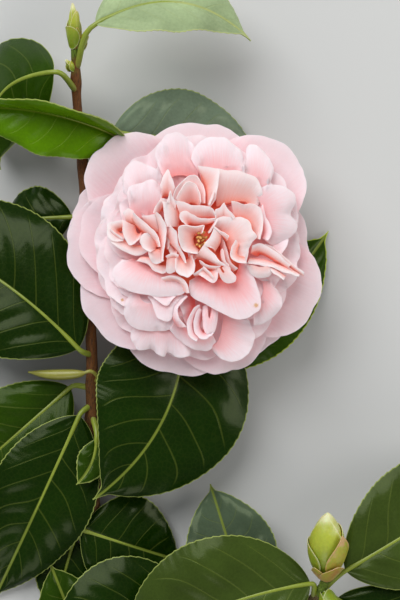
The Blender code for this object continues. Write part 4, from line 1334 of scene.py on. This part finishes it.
        [(0.4, -11.8), (1.8, -12.8), (2.8, -13.8), (3.8, -15)],
        dict(low=29.5, root=3),
    ),
    "tongue": (
        [(-10.3, -7.4), (-10.4, -11), (-9.3, -13), (-7.4, -14.2), (-5.4, -14.4), (-3.5, -13), (-2.8, -10.5),
         (-3.1, -8), (-3.9, -6)],
        [(-8.8, -6.2), (-8.4, -7), (-7.8, -7.5), (-7, -7.9), (-6.3, -8), (-5.6, -7.8), (-5, -7.2),
         (-4.8, -6.6), (-4.8, -6)],
        dict(low=28.5, bulge=-0.2),
    ),
    "tongue_side": (
        [(-3.6, -13.2), (-1.6, -12), (0.4, -10.8)],
        [(-3, -14), (-1.2, -13.4), (0.4, -12.2)],
        dict(high=31, low=28),
    ),
    "stack_top": (
        [(-13.8, -6.8), (-12.6, -5.6), (-11, -5.1), (-9, -6.2)],
        [(-13.2, -7.8), (-12, -7.2), (-10.8, -6.9), (-9.4, -7.6)],
        dict(low=29.5),
    ),
    "stack": (
        [(-14, -12.2), (-12.6, -12.9), (-10.4, -12.4)],
        [(-13.4, -7), (-11.8, -6.6), (-10.4, -7)],
        dict(high=30.5, low=30, bulge=0.8, pale=0.2),
    ),
    "envelope_top": (
        [(-23, 8.8), (-20, 9.1), (-17.5, 9.4), (-15.6, 8.4), (-14.6, 6.4)],
        [(-22, 6.4), (-20, 4.8), (-18.4, 3.4), (-17, 2.6), (-15.4, 2.6)],
        dict(low=29),
    ),
    "envelope_rim": (
        [(-26, 10), (-23.4, 7.4), (-20.6, 5), (-18.2, 2.8), (-16.6, 0.4), (-15.9, -3)],
        [(-27, 7.6), (-24.8, 5), (-22.6, 3), (-20, 1.2), (-18, -0.8), (-16.8, -3.2)],
        dict(high=33.5, low=29.5),
    ),
    "pocket": (
        [(-19.6, -4.8), (-22.4, -3.4), (-23.8, -1), (-22.4, 1.9), (-19.6, 2.2)],
        [(-17.6, -4), (-17.4, -3.2), (-17.2, -2.4), (-17, -1.6), (-16.8, -0.8)],
        dict(low=28.5, bulge=0.3),
    ),
    "pouch": (
        [(-30, 7), (-30.4, 4), (-30, 1), (-28.7, -1.3), (-27, -2.4), (-25.2, -1.7), (-23.4, 0.2)],
        [(-25.6, 5), (-25.6, 4), (-25.4, 3), (-25, 2.2), (-24.4, 1.8), (-23.8, 1.8), (-23, 2.4)],
        dict(high=31, low=27.5, bulge=-0.2),
    ),
    "pouch_back": (
        [(-30, 10), (-28, 11.6), (-26, 10.6)],
        [(-29, 6), (-27.2, 6), (-25.4, 5.6)],
        dict(high=31, low=28),
    ),
    "wing": (
        [(-29.8, 7), (-33, 6.6), (-35.8, 5.7), (-36.2, 3), (-35.3, 0), (-33, -1.2), (-30, -1)],
        [(-29.8, 4.6), (-31, 4.2), (-32, 3.8), (-32.4, 3), (-31.8, 2.2), (-30.8, 1.8), (-29.6, 1.6)],
        dict(high=30, low=28, bulge=0.3, root=5),
    ),
    "wing_crease": (
        [(-35.2, 3.8), (-32.8, 2.3), (-30.4, 0.2)],
        [(-34.6, 2.2), (-32.4, 0.8), (-30.2, -1)],
        dict(high=31, low=28.5, root=3),
    ),
    "lower_lip": (
        [(-35, -1.5), (-32, -3.6), (-29, -5.1), (-26, -6.3), (-23.4, -6.1), (-20.8, -4.8)],
        [(-31.6, 0.6), (-30, -0.6), (-28, -1.8), (-26, -2.6), (-24, -2.8), (-22, -2.4)],
        dict(high=29, low=28.5, bulge=0.3, root=5),
    ),
    "drape": (
        [(-20.8, -4.8), (-20, -7.6), (-18.4, -9.2), (-16.6, -9.4), (-14.6, -8.4)],
        [(-19, -3.6), (-18.4, -4), (-17.6, -4.2), (-16.8, -4), (-16, -3.6)],
        dict(high=30, low=29.5),
    ),
    "lap_lip": (
        [(-25.2, -8.6), (-22.6, -8.8), (-20.4, -9.7), (-18.4, -11.8), (-15.8, -13.1), (-13.8, -12.8)],
        [(-23.4, -7.2), (-21.5, -7), (-19.5, -7.4), (-17.6, -9), (-15.6, -10), (-14, -10.2)],
        dict(high=29, low=28, root=4),
    ),
}
FOLDS = {"broad": BROAD_FOLDS, "heart": HEART_FOLDS}
PETAL_THICK = {"guard": 0.42, "broad": 0.36, "heart": 0.3}
PETAL_FINISHES = {
    # The guard petals' colours are darker and greyer than the broad petals': partly their own cooler pink,
    # partly painted shade on the outer ring, which faces sideways away from the light.
    "guard": petal_finish(
        "guard_petal", (0.84, 0.33, 0.33), (0.87, 0.48, 0.51), (0.89, 0.64, 0.67), (0.94, 0.79, 0.82)
    ),
    "broad": petal_finish(
        "broad_petal", (0.96, 0.20, 0.18), (0.97, 0.45, 0.46), (0.975, 0.73, 0.76), (0.985, 0.85, 0.87),
        scorched=[(23.2, -21.0, 1.6), (-27.7, -19.0, 1.0)],
    ),
    "heart": petal_finish(
        "heart_petal", (0.97, 0.25, 0.17), (0.98, 0.53, 0.49), (0.985, 0.80, 0.79), (0.99, 0.89, 0.87)
    ),
}
laid = []
for ring, thick in PETAL_THICK.items():
    sheets = []
    for form, petals in RINGS.get(ring, []):
        for bearing, reach, top, own in petals:
            sheet = petal_sheet(Petal(bearing, reach, top, **(form | own)), PETAL_CELLS)
            sheet = laid_over(sheet, laid, thick + PETAL_GAP)
            laid.append(as_tree(sheet))
            sheets.append((sheet, disc_mark))
    for rim, foot, own in FOLDS.get(ring, {}).values():
        pale, gap = own.pop("pale", 0.0), own.pop("gap", PETAL_GAP)
        sheet = fold_sheet(rim, foot, **own)
        if own.get("root") == 0:
            sheet = laid_over(sheet, laid, thick + gap)
            laid.append(as_tree(sheet))
        sheets.append((sheet, fold_mark(pale)))
    petal_ring(f"bloom_{ring}_petals", sheets, PETAL_FINISHES[ring], "petal_pink", "bloom", thick)

# The green scales under the bloom are five small thick petals.
CALYX = dict(
    reach=11, top=2.4, width=10, height=0.7, foot=1.0, belly=0.5, roll=4, cup=0.1, ruffle=0.0, notch=0.0
)
CALYX_CELLS, CALYX_THICK = 14, 0.8
sheets = [(petal_sheet(Petal(bearing, **CALYX), CALYX_CELLS), disc_mark) for bearing in range(20, 380, 72)]
petal_ring("calyx_scales", sheets, young_green, "scale_green", "bloom_calyx", CALYX_THICK)


# ---------------------------------------------------------------- stamens
# The imported feet of the petaloids swell into a fleshy cushion under the heart, and a few gold
# anthers on pale threads are left in its middle, where the others have turned into petaloids. The
# cushion's salmon red is partly painted glow and shade: it fills the gaps between the heart's
# petals with the colour that light coming through them gives.

ANTHERS, ANTHER_TURN = 15, 2.4
ANTHER_HALVES = (0.5, 0.42, 0.85)
THREAD_RADIUS = 0.24
CONE_TOP, CUSHION_HALF, CUSHION_SIDES = 26.0, 21.0, 96
CONE_SHARES = (0.04, 0.4, 0.7, 0.9, 1.0)  # of CONE_TOP, where the cushion's line has its points
FLESH = dict(Roughness=0.5, Subsurface_Weight=0.3, Subsurface_Scale=2 * MM)


def cushion_radius(share, turn):
    """A crumpled dome with shallow ribs down its side."""
    dome = CUSHION_HALF * math.sqrt(max(0.0, 1 - share**3)) * smooth_step(share, -0.3, 0.75)
    crumple = noise.noise(Vector((math.cos(turn) * 2.6, math.sin(turn) * 2.6, share * 7)))
    return max(0.4, dome * (1 + 0.22 * crumple) + 0.3 * math.sin(17 * turn + 9 * share))


shape = bmesh.new()
shape.loops.layers.uv.new("blade_map")
chance = random.Random(SEED)
cone = smooth_route([BLOOM_STAND @ Vector((0, 0, CONE_TOP * share)) for share in CONE_SHARES], 9)
roll_up(shape, cone, cushion_radius, CUSHION_SIDES)
for i in range(ANTHERS):
    turn, out = ANTHER_TURN * i, 0.4 + 0.6 * math.sqrt(i)
    across, down = 0.8 * out * math.cos(turn), 1.25 * out * math.sin(turn)
    top = CONE_TOP + chance.uniform(2.0, 5.0)
    foot = BLOOM_STAND @ Vector((0.5 * across, 0.5 * down, CONE_TOP - 2))
    tip = BLOOM_STAND @ Vector((across, down, top))
    thread = smooth_route([foot, foot.lerp(tip, 0.5), tip], 3)
    for face in roll_up(shape, thread, lambda share, turn: THREAD_RADIUS, 8):
        face.material_index = 2
    aim = Matrix.Rotation(chance.uniform(0, math.pi), 4, "Z") @ Matrix.Rotation(0.8, 4, "X")
    pod = Matrix.Translation(spot(tip)) @ aim @ Matrix.Diagonal((*ANTHER_HALVES, 1.0)) @ Matrix.Scale(MM, 4)
    ball = bmesh.ops.create_uvsphere(shape, u_segments=10, v_segments=8, radius=1.0, matrix=pod)
    for face in {face for vert in ball["verts"] for face in vert.link_faces}:
        face.material_index = 1
stamen_finishes = [
    # The cushion's salmon red is partly painted glow and shade in the gaps between the heart's petals.
    speckled_finish("cushion_painted_gap_glow", (0.90, 0.13, 0.05), (0.93, 0.24, 0.12), 600.0, 0.05, **FLESH),
    speckled_finish("anther_gold", (0.60, 0.30, 0.06), (0.88, 0.58, 0.20), 2500.0, 0.08, Roughness=0.7),
    speckled_finish("thread_cream", (0.84, 0.44, 0.16), (0.90, 0.62, 0.32), 600.0, 0.05, **FLESH),
]
set_piece("bloom_stamens", shape, stamen_finishes, "petal_pink", "bloom")


# ---------------------------------------------------------------- buds
# Fat flower buds in overlapping rounded scales, green with a cream tip, and slim leaf buds at the
# stem's end. Brownish bracts stand round the foot of the largest flower bud, and one stands at the
# bud on the stem's tip.

GOLDEN_TURN = math.radians(137.5)
SCALE_CELLS, SCALE_THICK = 20, 0.25
SCALE_SPREAD = math.radians(80)
SCALE_DROP = 0.62  # share of the bud's length over which the scales' tops are spread
SCALE_LIFT, SCALE_STEP = 0.12, 0.32  # how far the first scale stands off, and each next one more
BRACT_TAPER = 0.8


class Bud:
    """An egg-shaped bud from its base to its tip, with scales round it from the tip down.

    fullest is the share of its length at which it is widest. Each bract is its turn, its start and
    top as shares of the length, its spread, its lift off the bud and its flare at the top.
    """

    def __init__(self, base, tip, width, fullest=0.45, scales=5, turn=0, bracts=()):
        self.base, self.tip, self.half = Vector(base), Vector(tip), width / 2
        self.length = (self.tip - self.base).length
        self.skew = math.log(0.5) / math.log(fullest)
        self.turned = (self.tip - self.base).to_track_quat("Z", "Y").to_matrix()
        self.scales, self.turn, self.bracts = scales, math.radians(turn), bracts

    def skin(self, turn, along, lift=0.0):
        """A point of the bud's skin, or lift outside it."""
        wide = self.half * abs(math.sin(math.pi * min(max(along, 0.0), 1.0) ** self.skew)) ** 0.7 + lift
        local = Vector((math.cos(turn) * wide, math.sin(turn) * wide, along * self.length))
        return self.base + self.turned @ local


def bud_finish(name, foot, tip, rim, blotch=0.3):
    material, tree, shader = new_finish(
        name, Roughness=0.42, Subsurface_Weight=0.15, Subsurface_Scale=2 * MM, Coat_Weight=0.1
    )
    place = place_on(tree)
    parts = add_node(tree, "SeparateXYZ", {0: map_on(tree, "petal_map")})
    patches = calc(tree, "MULTIPLY", fine_noise(tree, place, 220.0), blotch)
    ripe = calc(tree, "ADD", parts.outputs["X"], patches)
    fresh = mix_colour(tree, ease(tree, ripe, 0.3, 0.95), tint(foot), tint(tip))
    fresh = mix_colour(tree, ease(tree, ripe, 0.9, 1.12, 0.0, 0.85), fresh, tint(rim))
    fresh = mix_colour(tree, ease(tree, parts.outputs["Y"], 0.9, 1.0, 0.0, 0.6), fresh, tint(rim))
    dress(tree, shader, toned(tree, fresh, place, 0.4, 0.3), fine_noise(tree, place, 900.0), 0.04)
    return material


def wrap_scale(shape, bud, turn, top, spread, lift, start=0.03, flare=0.0, taper=0.0):
    """A scale that hugs the bud between two shares of its length, and leaves it by flare."""
    petal_map = shape.verts.layers.float_vector["petal_map"]

    def skin_at(a, b):
        x, y = disc_place(a, b)
        share, from_middle = (y + 1) / 2, math.hypot(x, y)
        clear = lift + 0.25 * from_middle**6 + flare * share * share
        around = turn + x * spread * (1 - taper * share * share)
        point = bud.skin(around, start + share * (top - start), clear)
        return point, (share * top, from_middle, x)

    return lay_sheet(shape, SCALE_CELLS, SCALE_CELLS, skin_at, petal_map, SCALE_THICK)


def wrap_bud(name, bud, finishes):
    """A closed core with its scales wrapped round it, each lapping the one above, and its bracts."""
    shape = bmesh.new()
    petal_map = shape.verts.layers.float_vector.new("petal_map")
    shape.loops.layers.uv.new("wood_map")
    for i in range(bud.scales):
        turn = bud.turn + GOLDEN_TURN * i
        top = 1.0 - SCALE_DROP * i / bud.scales
        wrap_scale(shape, bud, turn, top, SCALE_SPREAD, SCALE_LIFT + SCALE_STEP * i)
    for turn, start, top, spread, lift, flare in bud.bracts:
        turn, spread = math.radians(turn), math.radians(spread)
        for face in wrap_scale(shape, bud, turn, top, spread, lift, start, flare, BRACT_TAPER):
            face.material_index = 1
    core = bmesh.ops.create_uvsphere(shape, u_segments=24, v_segments=18, radius=1.0)
    for vert in core["verts"]:
        along = min(max((vert.co.z + 1) / 2, 0.0), 1.0)
        turn = math.atan2(vert.co.y, vert.co.x)
        vert.co = spot(bud.skin(turn, along))
        vert[petal_map] = (along, 0.0, 0.0)
    set_piece(name + "_scales", shape, finishes, "young_green", name)


BUDS = {
    "terminal_bud": Bud(
        STEM.route[-1] + Vector((0, -1.2, -0.3)),
        (-47.5, 96.5, 33),
        4.2,
        scales=4,
        bracts=[(120, 0.02, 0.5, 60, 0.75, 0.0)],
    ),
    "side_bud_high": Bud((-46, 77.5, 27.2), (-42, 87, 29.6), 2.7, scales=3),
    "side_bud_low": Bud((-47.3, 70.5, 25.5), (-50.5, 75, 29.5), 2.4, scales=3),
    "flower_bud": Bud(
        BUD_SHOOT.route[-1] + Vector((0.1, 0.5, 0.35)),
        (51.2, -101, 38.5),
        13.5,
        fullest=0.50,
        scales=3,
        turn=72,
        bracts=[
            (134, 0.06, 0.76, 58, 1.0, 1.6),
            (116, 0.0, 0.34, 64, 1.7, 1.2),
            (52, 0.0, 0.30, 44, 1.3, 0.8),
        ],
    ),
    "second_flower_bud": Bud((51, -132, 26), (56, -152, 31), 8.5, fullest=0.55),
}
bud_finishes = [
    bud_finish("bud_skin", (0.22, 0.30, 0.012), (0.47, 0.50, 0.045), (0.78, 0.75, 0.42)),
    bud_finish("bract_skin", (0.50, 0.20, 0.09), (0.42, 0.42, 0.04), (0.66, 0.40, 0.20), blotch=0.9),
]
for name, bud in BUDS.items():
    wrap_bud(name, bud, bud_finishes)


# ---------------------------------------------------------------- floor, light and camera
# A pale floor just under the branch, a broad soft light from the upper left, weaker ones from the
# right and from the front, and the camera straight above the bloom.

FLOOR_DROP = 0.6
CAMERA_HEIGHT = 800.0

floor_mesh = bmesh.new()
bmesh.ops.create_grid(floor_mesh, x_segments=1, y_segments=1, size=6.0)
mesh = bpy.data.meshes.new("studio_floor")
floor_mesh.to_mesh(mesh)
floor_mesh.free()
floor_paint, tree, shader = new_finish("floor_paint", Roughness=0.9, Specular_IOR_Level=0.2)
shader.inputs["Base Color"].default_value = tint((0.62, 0.62, 0.60))
mesh.materials.append(floor_paint)
floor = bpy.data.objects.new("studio_floor", mesh)
floor.location.z = -FLOOR_DROP * MM
bpy.context.scene.collection.objects.link(floor)


def hang_light(name, place, size, power, colour):
    """A round soft light, in metres and watts, that faces the frame's origin."""
    lamp = bpy.data.lights.new(name, "AREA")
    lamp.shape, lamp.size, lamp.energy, lamp.color = "DISK", size, power, colour
    holder = bpy.data.objects.new(name, lamp)
    holder.location = place
    holder.rotation_euler = (-Vector(place)).to_track_quat("-Z", "Y").to_euler()
    bpy.context.scene.collection.objects.link(holder)


hang_light("sky_light", (-0.6, 1.1, 1.3), 1.6, 29.0, (0.97, 0.98, 1.0))
hang_light("side_light", (1.5, 0.2, 0.9), 1.0, 9.4, (1.0, 0.98, 0.95))
hang_light("front_light", (-0.3, -1.6, 1.0), 1.0, 5.6, (1.0, 0.98, 0.95))
world = bpy.data.worlds.new("studio")
world.use_nodes = True
glow = world.node_tree.nodes["Background"].inputs
glow["Color"].default_value, glow["Strength"].default_value = (0.92, 0.96, 1.0, 1.0), 0.27
bpy.context.scene.world = world
bpy.context.scene.view_settings.view_transform = "Standard"

lens = bpy.data.cameras.new("camera")
lens.sensor_width, lens.lens, lens.clip_start = 36.0, 118.4, 0.01
camera = bpy.data.objects.new("camera", lens)
camera.location = spot((1.9, -19.0, CAMERA_HEIGHT))
bpy.context.scene.collection.objects.link(camera)
bpy.context.scene.camera = camera
